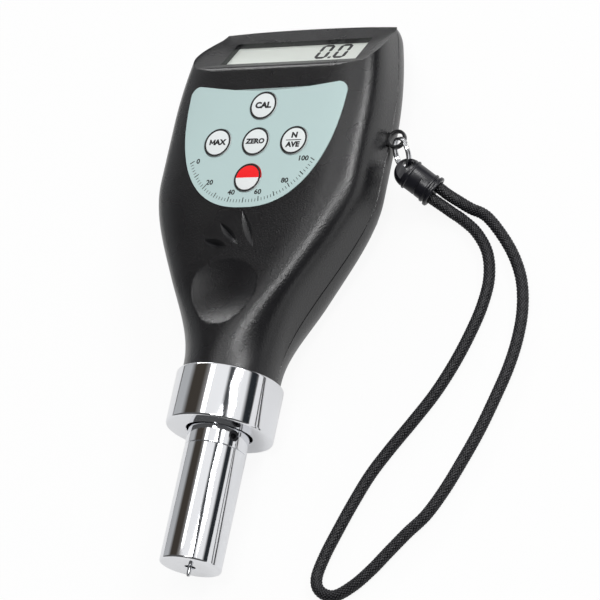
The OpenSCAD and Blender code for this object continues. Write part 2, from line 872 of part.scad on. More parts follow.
// Bobbin with its winding
module transducer_coil() {
    color("#a5572a") turned() difference() {
        band(2, coil_r, coil_low, coil_low + coil_len);
        for (k = [0, 1]) band(coil_r - 0.6, coil_r + 1, coil_low + 1.2 + 8.2 * k, coil_low + 8.6 + 8.2 * k);
    }
}

// Flat lead from the transducer to the board
module sensor_lead() {
    y0 = y_foot + coil_low + coil_len + 0.1;
    y1 = board_low_y + 1.4;
    z0 = axis_h;
    z1 = board_z + board_t + 1.6;
    t = 0.4;
    w = 2.4;
    color("#7a2f2f") translate([-w / 2, 0, 0]) rotate([90, 0, 90]) linear_extrude(w) polygon([
        [y0, z0 - t], [y0 + 8, z0 - t], [y1 - 6, z1 - t], [y1, z1 - t],
        [y1, z1 + t], [y1 - 6.5, z1 + t], [y0 + 7.5, z0 + t], [y0, z0 + t]
    ]);
}

// Eye for the wrist strap, trapped in the parting plane
module strap_anchor() {
    z = eye[2] - eye_t / 2;
    inside = half_w(eye[1]) - wall - 2.2;
    color("#17181a") difference() {
        union() {
            translate([eye[0], eye[1], z]) cylinder(r = eye_r, h = eye_t);
            block([inside, eye[1] - eye_half, z], [eye[0], eye[1] + eye_half, z + eye_t]);
            block([inside, eye[1] - 4, z], [inside + 1.8, eye[1] + 4, z + eye_t]);
        }
        translate([eye[0], eye[1], z - 1]) cylinder(r = eye_hole, h = eye_t + 2);
    }
}

// Puts what follows in a frame with the given X and Z directions
module framed(at, x, z) {
    y = cross(z, x);
    multmatrix([
        [x[0], y[0], z[0], at[0]], [x[1], y[1], z[1], at[1]],
        [x[2], y[2], z[2], at[2]], [0, 0, 0, 1]
    ])
        children();
}

module split_ring() {
    color("#c8cbd0") framed(eye + ring_d / 2 * ring_out, ring_out, ring_axis) rotate_extrude()
        translate([ring_d / 2, 0]) polygon([
            [-ring_t / 2, -ring_h / 2], [ring_t / 2, -ring_h / 2], [ring_t / 2, -0.06], [ring_t / 2 - 0.1, 0],
            [ring_t / 2, 0.06], [ring_t / 2, ring_h / 2], [-ring_t / 2, ring_h / 2]
        ]);
}

// Moulded end piece: domed top with an eye between two flats, grooved body, two beads at its mouth
module strap_ferrule() {
    r = ferrule_d / 2;
    color("#16171b") framed(hang, ferrule_x, ferrule_way) difference() {
        translate([0, ferrule_off, 0]) rotate_extrude() union() {
            intersection() {
                translate([0, 1.5]) circle(r + 0.1);
                translate([0, -5]) square([r + 1, 6.6]);
            }
            band(0, r, 1.5, ferrule_len - 0.6);
            band(0, r + 0.35, 1.9, 2.5);
            band(0, r + 0.3, ferrule_len - 2.3, ferrule_len - 1.6);
            band(0, r + 0.55, ferrule_len - 1, ferrule_len);
        }
        translate([-6, 0, 0]) rotate([0, 90, 0]) cylinder(r = 1.55, h = 12);
        for (s = [-1, 1]) translate([s * (eye_tab / 2 + 5), 0, 0]) slab(10, 20, -6, 0.9);
        for (s = [-1, 1]) translate([0, ferrule_off, 0]) framed([0, 0, 0], strand_x, [0, 0, 1])
            translate([s * strand_gap, 0, strand_in]) cylinder(r = cord_d / 2 + 0.2, h = ferrule_len);
        difference() {
            translate([0, ferrule_off, 0]) rotate_extrude() band(r - 0.35, r + 1, 5.6, 6);
            block([-9, -9, 5], [9, ferrule_off + 1, 7]);
        }
    }
}

// Smooth curve through the route, with extra points between its own
function bend(p0, p1, p2, p3, t) = 0.5 * (2 * p1 + (p2 - p0) * t
    + (2 * p0 - 5 * p1 + 4 * p2 - p3) * t * t + (3 * p1 - p0 - 3 * p2 + p3) * t * t * t);

function curve(p, cuts) = let (n = len(p)) concat(
    [for (k = [0:n - 2], c = [0:cuts - 1])
        bend(p[max(k - 1, 0)], p[k], p[k + 1], p[min(k + 2, n - 1)], c / cuts)],
    [p[n - 1]]
);

module strap_cord() {
    color("#1d1d22") wire(curve(cord_route, cord_cuts), cord_d / 2, cord_sides);
}

front_shell();
rear_shell();
battery_door();
case_screws();
keypad_film();
key_cal();
key_max();
key_zero();
key_average();
key_power();
tact_switches();
main_board();
board_screws();
lcd_lens();
lcd_panel();
lcd_frame();
contact_strips();
lcd_board();
display_flex();
battery_holder();
battery_cells();
battery_springs();
battery_contacts();
sensor_collar();
sensor_hub();
set_screw();
foot_sleeve();
guide_bush();
indenter();
plunger();
load_spring();
spring_adjuster();
transducer_core();
transducer_coil();
sensor_lead();
strap_anchor();
split_ring();
strap_ferrule();
strap_cord();
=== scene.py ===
# %% [markdown]
# # A hand-held digital durometer
#
# A durometer measures how hard rubber or plastic is: a sprung pin is pressed into the material and
# the gauge reads how far it sinks. The CAD model is the frame here. It fixes every size and every
# motion, and Blender adds smooth skins, prints, the braided strap and the finishes.

# %% Load the frame
import contextlib
import json
import math

import bmesh
import bpy
import numpy as np
from mathutils import Matrix, Vector


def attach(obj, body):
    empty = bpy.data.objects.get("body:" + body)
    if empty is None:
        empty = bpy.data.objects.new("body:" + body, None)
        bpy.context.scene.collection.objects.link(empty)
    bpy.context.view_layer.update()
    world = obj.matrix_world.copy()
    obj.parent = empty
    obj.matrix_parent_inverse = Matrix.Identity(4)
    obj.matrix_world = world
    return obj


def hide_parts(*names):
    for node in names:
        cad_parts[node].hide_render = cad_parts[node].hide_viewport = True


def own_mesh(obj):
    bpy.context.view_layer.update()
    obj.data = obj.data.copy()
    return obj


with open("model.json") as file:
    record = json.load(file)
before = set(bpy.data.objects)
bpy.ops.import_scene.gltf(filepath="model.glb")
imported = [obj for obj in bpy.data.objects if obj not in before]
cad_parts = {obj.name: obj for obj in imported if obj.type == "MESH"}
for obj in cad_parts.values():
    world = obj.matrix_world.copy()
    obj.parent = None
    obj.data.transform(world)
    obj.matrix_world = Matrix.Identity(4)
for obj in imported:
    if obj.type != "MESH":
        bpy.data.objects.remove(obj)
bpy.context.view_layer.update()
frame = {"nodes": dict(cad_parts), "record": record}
nodes = frame["nodes"]
MM = 0.001


def linked(name, data):
    """A new object in the scene."""
    obj = bpy.data.objects.new(name, data)
    bpy.context.scene.collection.objects.link(obj)
    return obj


# %% [markdown]
# ## The camera
#
# The gauge was photographed from far away with a long lens, from above and from its strap side.
# The camera's three directions came from fitting straight edges and circles of the gauge, so they
# are written here as a matrix instead of being aimed at a point.

# %% Camera
SENSOR_MM, LENS_MM = 36, 217.16
CLIP_NEAR, CLIP_FAR = 0.05, 50
CAMERA_AT = (0.5205, -0.3704, 0.7797)
camera = linked("camera", bpy.data.cameras.new("camera"))
camera.data.sensor_width, camera.data.lens = SENSOR_MM, LENS_MM
camera.data.clip_start, camera.data.clip_end = CLIP_NEAR, CLIP_FAR
right = Vector((0.8553, 0.1969, -0.4792)).normalized()
up = Vector((0.0073, 0.9203, 0.3911))
back = right.cross(up).normalized()
up = back.cross(right)
facing = Matrix((right, up, back)).transposed().to_4x4()
camera.matrix_world = Matrix.Translation(CAMERA_AT) @ facing
bpy.context.scene.camera = camera
print("lens", camera.data.lens)

# %% [markdown]
# ## Helpers for meshes
#
# Every piece sits at the origin with its place in its mesh, as the CAD nodes do. One helper turns
# points in millimetres into an object, one turns a profile on the sensor axis, and one cuts a
# solid with others. Edges sharper than a set angle stay crisp and all others shade smoothly.


# %% Mesh helpers
CRISP = 32


@contextlib.contextmanager
def editing(mesh):
    """Opens a mesh for editing and writes it back."""
    b = bmesh.new()
    b.from_mesh(mesh)
    yield b
    b.to_mesh(mesh)
    b.free()


def crisp(mesh, angle=CRISP):
    mesh.shade_smooth()
    mesh.set_sharp_from_angle(angle=math.radians(angle))
    return mesh


def new_mesh(name, points, faces, angle=CRISP):
    mesh = bpy.data.meshes.new(name)
    mesh.from_pydata([tuple(float(c) * MM for c in p) for p in points], [], faces)
    with editing(mesh) as b:
        bmesh.ops.remove_doubles(b, verts=b.verts, dist=1e-7)
        bmesh.ops.recalc_face_normals(b, faces=b.faces)
    return crisp(mesh, angle)


def new_object(mesh):
    return linked(mesh.name, mesh)


def final_mesh(obj):
    bpy.context.view_layer.update()
    shape = obj.evaluated_get(bpy.context.evaluated_depsgraph_get())
    return bpy.data.meshes.new_from_object(shape)


def settle(obj):
    """The evaluated shape becomes the object's plain mesh, and its modifiers go."""
    done = final_mesh(obj)
    obj.modifiers.clear()
    obj.data = done
    return obj


def carve(obj, cutters, keep="DIFFERENCE"):
    for cutter in cutters:
        cut = obj.modifiers.new("cut", "BOOLEAN")
        cut.operation = keep
        cut.solver = "MANIFOLD"
        cut.object = cutter
        settle(obj)
        bpy.data.objects.remove(cutter)
    return obj


def weld(obj, angle=CRISP, dist=2e-6):
    with editing(obj.data) as b:
        bmesh.ops.remove_doubles(b, verts=b.verts, dist=dist)
        bmesh.ops.dissolve_degenerate(b, edges=b.edges, dist=dist)
    crisp(obj.data, angle)
    return obj


def even_shading(obj):
    """Large faces decide the normals, so slivers left by a cut do not show."""
    even = obj.modifiers.new("even", "WEIGHTED_NORMAL")
    even.keep_sharp = True
    return settle(obj)


def dress(obj, body, material, slot, *stands_for):
    """Gives a finished piece its material and body, and hides the CAD nodes that it stands for."""
    obj.data.materials.clear()
    obj.data.materials.append(material)
    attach(obj, body)
    if stands_for:
        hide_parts(*stands_for)
    return obj


def soften(obj, wanted, width, steps=3, sharp=25):
    """Rounds the sharp edges whose two ends are wanted."""
    limit = math.radians(sharp)
    shape = {"offset": width * MM, "segments": steps, "profile": 0.5, "clamp_overlap": True}
    with editing(obj.data) as b:
        bmesh.ops.remove_doubles(b, verts=b.verts, dist=2e-5)
        edges = [e for e in b.edges if len(e.link_faces) == 2 and e.calc_face_angle() > limit]
        edges = [e for e in edges if all(wanted(v.co / MM) for v in e.verts)]
        bmesh.ops.bevel(b, geom=edges, affect="EDGES", **shape)
    crisp(obj.data)
    return len(edges)


def lofted(name, rings, angle=CRISP):
    count = len(rings[0])
    points = [p for ring in rings for p in ring]
    faces = [tuple(range(count)), tuple(range(len(points) - count, len(points)))]
    for k in range(len(rings) - 1):
        for j in range(count):
            a, b = k * count + j, k * count + (j + 1) % count
            faces.append((a, b, b + count, a + count))
    return new_object(new_mesh(name, points, faces, angle))


def block(name, low, high):
    (a, b, c), (d, e, f) = low, high
    points = [(x, y, z) for z in (c, f) for x, y in ((a, b), (d, b), (d, e), (a, e))]
    faces = [(3, 2, 1, 0), (4, 5, 6, 7), (0, 1, 5, 4), (1, 2, 6, 5), (2, 3, 7, 6), (3, 0, 4, 7)]
    return new_object(new_mesh(name, points, faces))


print("mesh helpers ready")

# %% [markdown]
# ## The housing's form
#
# The housing is a round neck that opens into a wide head. The same few rules as in the CAD source
# give its width and its section at any place along the gauge, so the skin here can be cut much
# finer than the solid without leaving it.

# %% Housing rules
BODY_W, BODY_T, PART_H, AXIS_H = 65.0, 28.0, 12.6, 15.0
HEAD_Y, NECK_Y, NECK_R, FOOT_Y = 42.2, -65.3, 13.4, -118.0
NECK_END, HEAD_END = -77.0, HEAD_Y + 0.6
FLARE_AT, FLARE_LEN = 3.3, 53
TAPER_FROM, TAPER = 8, 0.0047
BOX_AT, BOX_LEN = 1, 26
CROWN, BELLY, BELLY_DROP = 5, 2.4, 1.9
END_R, SEAM, WALL, SKIRT = 5.0, 0.22, 2.2, 1.0


def ease(t):
    t = min(1.0, max(0.0, t))
    return t * t * (3 - 2 * t)


def half_width(y):
    flare = (BODY_W / 2 - NECK_R) * ease((y - NECK_Y - FLARE_AT) / FLARE_LEN)
    return NECK_R + flare - TAPER * max(0.0, y - TAPER_FROM) ** 2


def signed_power(v, e):
    return math.copysign(abs(v) ** e, v)


def face_height(x, y):
    fall = (abs(x) / half_width(y)) ** CROWN
    return PART_H + (BODY_T - PART_H) * max(0.0, 1 - fall) ** (1 / CROWN)


def section(y, front, steps, inset=0.0, skirt=0.0, last=HEAD_END):
    """One half section of the housing at y, from the strap side over to the other."""
    t = min(1.0, max(0.0, (y - last + END_R) / END_R))
    pull = 0.0 if front else END_R * (1 - math.sqrt(1 - t * t))
    w = half_width(y) - inset - pull / 2
    boxy = ease((y - NECK_Y - BOX_AT) / BOX_LEN)
    r = NECK_R - inset
    low = math.degrees(math.asin((AXIS_H - PART_H) / r))
    ring = []
    for i in range(steps + 1):
        share = i / steps
        if front:
            power, rise = 2 / CROWN, BODY_T - PART_H - inset
            p = -low + (180 + 2 * low) * share
        else:
            power, rise = 2 / BELLY, -(PART_H + BELLY_DROP - inset)
            p = -low - (180 - 2 * low) * share
        a, p = math.pi * share, math.radians(p)
        boxy_z = PART_H + rise * max(0.0, math.sin(a)) ** power
        x = (1 - boxy) * w * math.cos(p) + boxy * w * signed_power(math.cos(a), power)
        z = (1 - boxy) * (AXIS_H + r * math.sin(p)) + boxy * boxy_z
        ring.append((x, y, z if front else max(z, inset + pull)))
    if not inset:
        step = SEAM if front else -SEAM
        rims = (ring[0], ring[-1])
        ends = [[(x - math.copysign(SEAM, x), y, z), (x, y, z + step)] for x, y, z in rims]
        ring = ends[0] + ring[1:-1] + ends[1][::-1]
    if skirt:
        side = skirt if not front else -skirt
        ring = [(w, y, PART_H + side)] + ring + [(-w, y, PART_H + side)]
    return ring


def stations(first, last, count):
    plain = list(np.linspace(first, last - END_R, count))
    return plain + [last - END_R + END_R * math.sin(math.radians(a)) for a in range(10, 91, 10)]


print("width at the keys", round(2 * half_width(0), 2))

# %% [markdown]
# ## Shader maths
#
# Finishes are built from numbers that change over a surface. One small class wraps a socket, so
# that an expression such as `mask * 0.5` adds its own Math nodes.


# %% Shader maths
class Value:
    def __init__(self, tree, socket):
        self.tree, self.socket = tree, socket

    def _maths(self, kind, a, b):
        return make(self.tree, "ShaderNodeMath", {"operation": kind}, {0: a, 1: b})

    def __add__(self, other):
        return self._maths("ADD", self, other)

    def __radd__(self, other):
        return self._maths("ADD", other, self)

    def __sub__(self, other):
        return self._maths("SUBTRACT", self, other)

    def __mul__(self, other):
        return self._maths("MULTIPLY", self, other)

    def __gt__(self, other):
        return self._maths("GREATER_THAN", self, other)


def make(tree, kind, settings=None, inputs=None, output=0):
    """Adds a node, sets it up, fills its sockets with values or links, and wraps one output."""
    node = tree.nodes.new(kind)
    for name, setting in (settings or {}).items():
        setattr(node, name, setting)
    for name, value in (inputs or {}).items():
        if isinstance(value, Value):
            tree.links.new(value.socket, node.inputs[name])
        else:
            node.inputs[name].default_value = value
    return Value(tree, node.outputs[output])


def linear(*rgb):
    """A colour as seen on a screen, 0 to 255, in the numbers that a shader takes."""
    part = [c / 255 for c in rgb]
    return tuple(c / 12.92 if c <= 0.04045 else ((c + 0.055) / 1.055) ** 2.4 for c in part) + (1.0,)


def surface(name, **sockets):
    """A material with one Principled shader, and the shader's node."""
    material = bpy.data.materials.new(name)
    material.use_nodes = True
    shader = material.node_tree.nodes["Principled BSDF"]
    for socket, value in sockets.items():
        shader.inputs[socket.replace("_", " ")].default_value = value
    return material, material.node_tree, shader


def feed(tree, shader, socket, value):
    tree.links.new(value.socket, shader.inputs[socket])


def place(tree):
    return make(tree, "ShaderNodeTexCoord", output="Object")


def parts(tree, vector):
    """The three numbers of a vector."""
    node = tree.nodes.new("ShaderNodeSeparateXYZ")
    tree.links.new(vector.socket, node.inputs[0])
    return [Value(tree, socket) for socket in node.outputs]


def noise(tree, scale, detail=2.0):
    sockets = {"Vector": place(tree), "Scale": scale, "Detail": detail}
    return make(tree, "ShaderNodeTexNoise", {}, sockets)


def soft_step(tree, value, first, last):
    """Goes softly from 0 where the value is first to 1 where it is last."""
    sockets = {0: value, 1: first, 2: last}
    return make(tree, "ShaderNodeMapRange", {"interpolation_type": "SMOOTHSTEP"}, sockets)


def mixed(tree, mask, first, second):
    return make(tree, "ShaderNodeMix", {"data_type": "RGBA"}, {0: mask, 6: first, 7: second}, 2)


def tinted(tree, shader, mask, first, second):
    feed(tree, shader, "Base Color", mixed(tree, mask, first, second))


def grain(tree, shader, height, strength, distance):
    sockets = {"Height": height, "Strength": strength, "Distance": distance}
    feed(tree, shader, "Normal", make(tree, "ShaderNodeBump", {}, sockets))


print("shader maths ready")

# %% [markdown]
# ## Finishes
#
# The housing is black plastic from a finely spark-eroded mould, so it has a tight grain and a
# satin shine. The barrel is polished and chromed. The keypad film is a printed sheet with a very
# fine grain. Each finish reads Object coordinates, which are metres here.


# %% Moulded and printed finishes
def moulded(name, colour, rough, size=2600.0, depth=0.00006, spread=1.6):
    material, tree, shader = surface(name, Base_Color=colour, Roughness=rough)
    fine = noise(tree, size, 3.0)
    feed(tree, shader, "Roughness", rough - 0.06 + noise(tree, 90.0) * 0.12)
    lighter = tuple(min(1.0, c * spread) for c in colour[:3]) + (1.0,)
    tinted(tree, shader, noise(tree, 40.0, 4.0), colour, lighter)
    grain(tree, shader, fine, 0.7, depth)
    return material


black_plastic = moulded("housing_black", (0.004, 0.004, 0.005, 1), 0.28, 2200.0, 0.00012)
black_plastic.node_tree.nodes["Principled BSDF"].inputs["Specular IOR Level"].default_value = 0.66
inner_black = moulded("inner_black", (0.012, 0.012, 0.013, 1), 0.5)
pale_plastic = moulded("pale_plastic", linear(226, 226, 220), 0.5, spread=1.05)
film_print = moulded("film_print", linear(186, 208, 207), 0.45, 5000.0, 0.00002, 1.04)
key_white = moulded("key_white", linear(231, 236, 236), 0.42, 4000.0, 0.00001, 1.03)
ink_black = moulded("ink_black", (0.003, 0.003, 0.0035, 1), 0.5, 4000.0, 0.00001)
panel_grey = moulded("panel_grey", linear(216, 221, 215), 0.35, 6000.0, 0.00001, 1.04)
ferrule_gloss = moulded("ferrule_gloss", (0.006, 0.006, 0.009, 1), 0.3, 700.0, 0.00001)
board_green = moulded("board_green", (0.02, 0.16, 0.06, 1), 0.4)
amber_film = moulded("amber_film", (0.35, 0.13, 0.02, 1), 0.35)
cell_wrap = moulded("cell_wrap", (0.03, 0.06, 0.1, 1), 0.3)
striped_rubber = moulded("striped_rubber", (0.3, 0.12, 0.04, 1), 0.6)
print("plastics", 12)


# %% Metal finishes
def metal(name, colour, rough, size=900.0):
    material, tree, shader = surface(name, Base_Color=colour, Metallic=1.0, Roughness=rough)
    feed(tree, shader, "Roughness", rough + noise(tree, size, 3.0) * 0.03)
    tinted(tree, shader, noise(tree, 60.0), colour, tuple(c * 0.95 for c in colour[:3]) + (1.0,))
    return material


chrome = metal("chrome", (0.79, 0.8, 0.825, 1), 0.06)
bright_steel = metal("bright_steel", (0.62, 0.63, 0.65, 1), 0.2)
dark_steel = metal("dark_steel", (0.06, 0.06, 0.065, 1), 0.35)
turned_brass = metal("turned_brass", (0.75, 0.52, 0.2, 1), 0.25)
copper_winding = metal("copper_winding", (0.5, 0.17, 0.06, 1), 0.3)

RED_FROM = -0.01085
power_print, tree, shader = surface("power_print", Roughness=0.42)
red = parts(tree, place(tree))[1] > RED_FROM
tinted(tree, shader, red, linear(236, 239, 239), linear(248, 4, 14))
grain(tree, shader, noise(tree, 4000.0), 0.3, 0.00001)

clear_lens, tree, shader = surface("clear_lens", Base_Color=(0.9, 0.93, 0.92, 1), Roughness=0.05)
feed(tree, shader, "Alpha", 0.015 + noise(tree, 30.0) * 0.01)
print("metals", 5)

# %% [markdown]
# ## The strap
#
# The wrist strap is a braided cord, laid out on the floor in a long loop. Both ends go into the
# ferrule. Its route is one smooth curve through the same points as in the CAD source. The braid
# is real relief: the tube's radius follows two sets of crossing strands.

# %% Strap route
CORD_D, LAID_Z = 3.3, 1.7
LAID = [
    (60.5, -11.7), (66.5, -17.5), (71.5, -24), (75, -31), (76.8, -39), (77, -47), (76, -55),
    (74, -63), (71, -73), (67.5, -82), (64, -90), (60, -97), (55.5, -102), (51, -107.5),
    (47, -112.5), (42.5, -117), (37.5, -120), (33, -119), (31, -115.5), (32, -109.5),
    (34.5, -102), (37.5, -94), (41, -86), (45.5, -78.5), (50.5, -71), (55.5, -63),
    (59.5, -54.5), (62.5, -46), (64.5, -38), (65, -30), (63, -22.5), (58.5, -16.5),
]
ROUTE = [
    (44.71, -3.68, 7.19), (46.12, -4.53, 6.24), (47.09, -5.11, 5.59), (48.9, -6.2, 4.3),
    (51.6, -7.5, 2.6), (55.2, -9.3, 1.75), *[(x, y, LAID_Z) for x, y in LAID],
    (53.4, -12.6, 1.75), (50.4, -10.9, 2.6), (47.9, -9.5, 4.1), (45.28, -8.11, 5.59),
    (44.32, -7.53, 6.24), (42.91, -6.68, 7.19),
]


def smooth_route(points, cuts):
    p = np.array(points, float)
    out = []
    for k in range(len(p) - 1):
        a, b, c, d = p[max(k - 1, 0)], p[k], p[k + 1], p[min(k + 2, len(p) - 1)]
        for t in np.arange(cuts) / cuts:
            square = (2 * a - 5 * b + 4 * c - d) * t**2
            cube = (3 * b - a - 3 * c + d) * t**3
            out.append(0.5 * (2 * b + (c - a) * t + square + cube))
    return np.array(out + [p[-1]])


def even_steps(path, step):
    run = np.concatenate([[0], np.cumsum(np.linalg.norm(np.diff(path, axis=0), axis=1))])
    want = np.linspace(0, run[-1], int(run[-1] / step) + 1)
    return np.stack([np.interp(want, run, path[:, i]) for i in range(3)], axis=1), run[-1]


cord_path, cord_length = even_steps(smooth_route(ROUTE, 24), 0.25)
print("strap length in mm", round(cord_length, 1))

# %% Braided strap
AROUND, STRANDS, PITCH, RELIEF = 48, 12, 13.0, 0.42
ahead = np.gradient(cord_path, axis=0)
ahead /= np.linalg.norm(ahead, axis=1)[:, None]
side = np.cross((0, 0, 1), ahead)
side /= np.linalg.norm(side, axis=1)[:, None]
over = np.cross(ahead, side)
turn = np.arange(AROUND) * 2 * math.pi / AROUND
travel = np.arange(len(cord_path)) * cord_length / (len(cord_path) - 1)
lay = 2 * math.pi * travel[:, None] / PITCH
one, two = STRANDS * (turn + lay) / 2, STRANDS * (turn - lay) / 2
weave = np.sqrt(np.abs(np.sin(one) * np.sin(two)))
radius = CORD_D / 2 - RELIEF * (1 - weave)
points = cord_path[:, None] + radius[..., None] * (
    np.cos(turn)[None, :, None] * side[:, None] + np.sin(turn)[None, :, None] * over[:, None]
)
strap = lofted("strap_braid", points.tolist(), 70)
# The relief is also kept on the points, and the finish reads it to paint shade into the valleys.
lift = strap.data.attributes.new("weave", "FLOAT", "POINT")
lift.data.foreach_set("value", (weave**2).ravel())
print("strap faces", len(strap.data.polygons))

# %% Strap finish
cord_black, tree, shader = surface("cord_black", Roughness=0.36)
high = make(tree, "ShaderNodeAttribute", {"attribute_name": "weave"}, output="Fac")
# Painted shade and light: the colour is black in the braid's valleys and lighter on the strand
# tops, following the relief, with a random tone over the tops.
valley_shade_and_tone = high * high * (0.5 + noise(tree, 1500.0, 4.0))
tinted(tree, shader, valley_shade_and_tone, (0.0, 0.0, 0.0, 1), (0.1, 0.1, 0.112, 1))
shader.inputs["Specular IOR Level"].default_value = 0.25
grain(tree, shader, noise(tree, 6000.0, 3.0), 0.4, 0.00004)
dress(strap, "strap", cord_black, "cord", "strap_cord")

# %% [markdown]
# ## The front shell
#
# The front shell is one moulding: a crowned face, a sloping display face with four bevels down to
# the window, a shallow thumb rest and three leaf grooves. The skin is lofted finely and then cut
# with the same shapes as the solid. One more cutter, swept from side to side, rounds the lip where
# the face turns down to the window: a soft lip carries a highlight and a sharp edge doesn't.


# %% Cutters for the display end
WINDOW_AT, WINDOW_TILT = (0, HEAD_Y - 10, AXIS_H + 3.4), 33.4
WINDOW_W, WINDOW_H, PLATE_T = 43.6, 11.3, 1.5
LIP_AT, BEZEL_TILT = (0, HEAD_Y - 18.2, BODY_T - 0.6), 40.0
FUNNEL_LOW, FUNNEL_HIGH = (-29.5, -0.8, 0), (29.5, 23.2, 1)
WIDE, TALL = 120, 60
HEAD_ARC, ARC_STEPS = 330, 1200


def tilted(obj, at, tilt):
    turn = Matrix.Rotation(math.radians(-tilt), 4, "X")
    obj.data.transform(Matrix.Translation(Vector(at) * MM) @ turn)
    return obj


def at_window(obj):
    return tilted(obj, WINDOW_AT, WINDOW_TILT)


def slab(name, w, h, low, high):
    return block(name, (-w / 2, -h / 2, low), (w / 2, h / 2, high))


def rod(name, x, y, r, low, high, steps=64):
    turn = np.arange(steps) * 2 * math.pi / steps
    circle = [(x + r * math.cos(a), y + r * math.sin(a)) for a in turn]
    return lofted(name, [[(*p, z) for p in circle] for z in (low, high)])


def above_slope():
    return tilted(slab("face", WIDE, WIDE, 0, TALL), LIP_AT, BEZEL_TILT)


def head_arc():
    return rod("arc", 0, HEAD_Y - HEAD_ARC, HEAD_ARC, -1, TALL, ARC_STEPS)


def funnel():
    far = tilted(block("far", FUNNEL_LOW, FUNNEL_HIGH), LIP_AT, BEZEL_TILT)
    near = at_window(slab("near", WINDOW_W, WINDOW_H, 0, 0.1))
    with editing(far.data) as b:
        b.from_mesh(near.data)
        bmesh.ops.delete(b, geom=b.faces[:], context="FACES_ONLY")
        found = bmesh.ops.convex_hull(b, input=b.verts[:])
        loose = found["geom_interior"] + found["geom_unused"]
        spare = [e for e in loose if isinstance(e, bmesh.types.BMVert)]
        bmesh.ops.delete(b, geom=spare, context="VERTS")
        bmesh.ops.recalc_face_normals(b, faces=b.faces)
    bpy.data.objects.remove(near)
    return far


BEVEL_FALL, BEVEL_RUN = 6.4, 4.09
LIP_ROW, LIP_Y, LIP_Z = 23.3, 23.39, 27.91
LIP_HALF, LIP_R, LIP_THIN, LIP_OUT = 27, 2.5, 1.9, 0.8


def lip_round():
    """What a rounded lip leaves out where the face turns down into the bezel."""
    steep = math.atan2(BEVEL_FALL, BEVEL_RUN)
    rings = []
    for x in np.linspace(-LIP_HALF, LIP_HALF, 73):
        r = LIP_R - LIP_THIN * ease((abs(x) - 19) / 8)
        z = face_height(x, LIP_ROW)
        y = LIP_Y + (LIP_Z - z) * BEVEL_RUN / BEVEL_FALL
        start = y - r * math.tan(steep / 2)
        angles = np.linspace(0, steep, 11)
        arc = [(start + r * math.sin(a), z - r + r * math.cos(a)) for a in angles]
        out = (arc[-1][0] + LIP_OUT * math.sin(steep), arc[-1][1] + LIP_OUT * math.cos(steep))
        rings.append([(x, *p) for p in arc + [out, (y + 0.3, z + 1.0), (start, z + LIP_OUT)]])
    return lofted("lip_round", rings)


print("bezel tilt", BEZEL_TILT, "window tilt", WINDOW_TILT)

# %% Cutters for the thumb rest and the leaves
THUMB_HALF, THUMB_DEPTH, THUMB_STRETCH = 10.4, 1.3, (1.08, 0.88)
LEAVES = [(3.5, -26, 12.4, 28.5), (-2.1, -27.3, 9.9, 48.5), (-5.9, -30.1, 8.2, 76)]
LEAF_DEPTH = 0.85


def ball(name, at, r, stretch):
    mesh = bpy.data.meshes.new(name)
    with editing(mesh) as b:
        bmesh.ops.create_uvsphere(b, u_segments=128, v_segments=160, radius=r * MM)
    mesh.transform(Matrix.Translation(Vector(at) * MM) @ Matrix.Diagonal((*stretch, 1, 1)))
    return new_object(mesh)


def leaf(x, y, length, angle, width=2.6):
    """A pointed groove with two flat flanks that meet in a line at the bottom."""
    big = (length * length / 4 + width * width / 4) / width
    rings = []
    for t in np.linspace(-0.999, 0.999, 40):
        s = t * length / 2
        r = max(0.002, math.sqrt(big * big - s * s) - big + width / 2)
        rings.append([(r, s, 0), (0, s, LEAF_DEPTH * r), (-r, s, 0), (0, s, -LEAF_DEPTH * r)])
    obj = lofted("leaf", rings)
    turn = Matrix.Rotation(math.radians(angle), 4, "Z")
    obj.data.transform(Matrix.Translation(Vector((x, y, BODY_T + 0.06)) * MM) @ turn)
    return obj


KEYS = {
    "cal": (0, 10.85), "max": (-12.2, 0), "zero": (0, 0), "average": (12.2, 0),
    "power": (0, -10.85),
}
KEY_R, KEY_GAP = 4.2, 0.15


def key_holes():
    return [rod("hole", x, y, KEY_R + KEY_GAP, 20, 32) for x, y in KEYS.values()]


print("keys", list(KEYS), "leaves", len(LEAVES))

# %% Keypad film shape
FILM_W, FILM_TOP, FILM_LEN, FILM_CORNER = 50.2, 17.7, 37.3, 2.8
FILM_POWER, FILM_DIP, FILM_UNDER, FILM_OVER = 2.4, 2.2, -0.3, 0.1


def film_rows(grow, low, high, rows=70, cols=60):
    rings = []
    drop, c = FILM_LEN + 2 * grow, FILM_CORNER
    bowed, quarter = np.radians(np.linspace(87.5, 4, rows + 1)), np.radians(np.linspace(0, 90, 14))
    falls = [drop * math.sin(a) ** (2 / FILM_POWER) for a in bowed]
    falls = [t for t in falls if t > c + 0.3] + [c * (1 - math.sin(a)) for a in quarter]
    for t in falls:
        bow = 1 - (t / drop) ** FILM_POWER
        corner = c - math.sqrt(c * c - (c - t) ** 2) if t < c else 0.0
        half = (FILM_W / 2 + grow) * bow ** (1 / FILM_POWER) - corner
        start, dip = FILM_TOP + grow - t, FILM_DIP * bow * bow
        xs = half * np.linspace(1, -1, cols + 1)
        line = [(x, start - dip * (1 - (x / half) ** 2)) for x in xs]
        ring = [(x, y, face_height(x, y) + high) for x, y in line]
        rings.append(ring + [(x, y, face_height(x, y) + low) for x, y in reversed(line)])
    return rings


film = lofted("keypad_sheet", film_rows(0, FILM_UNDER, FILM_OVER))
carve(film, key_holes())
weld(film)
dress(film, "housing", film_print, "film", "keypad_film")
print("film faces", len(film.data.polygons))

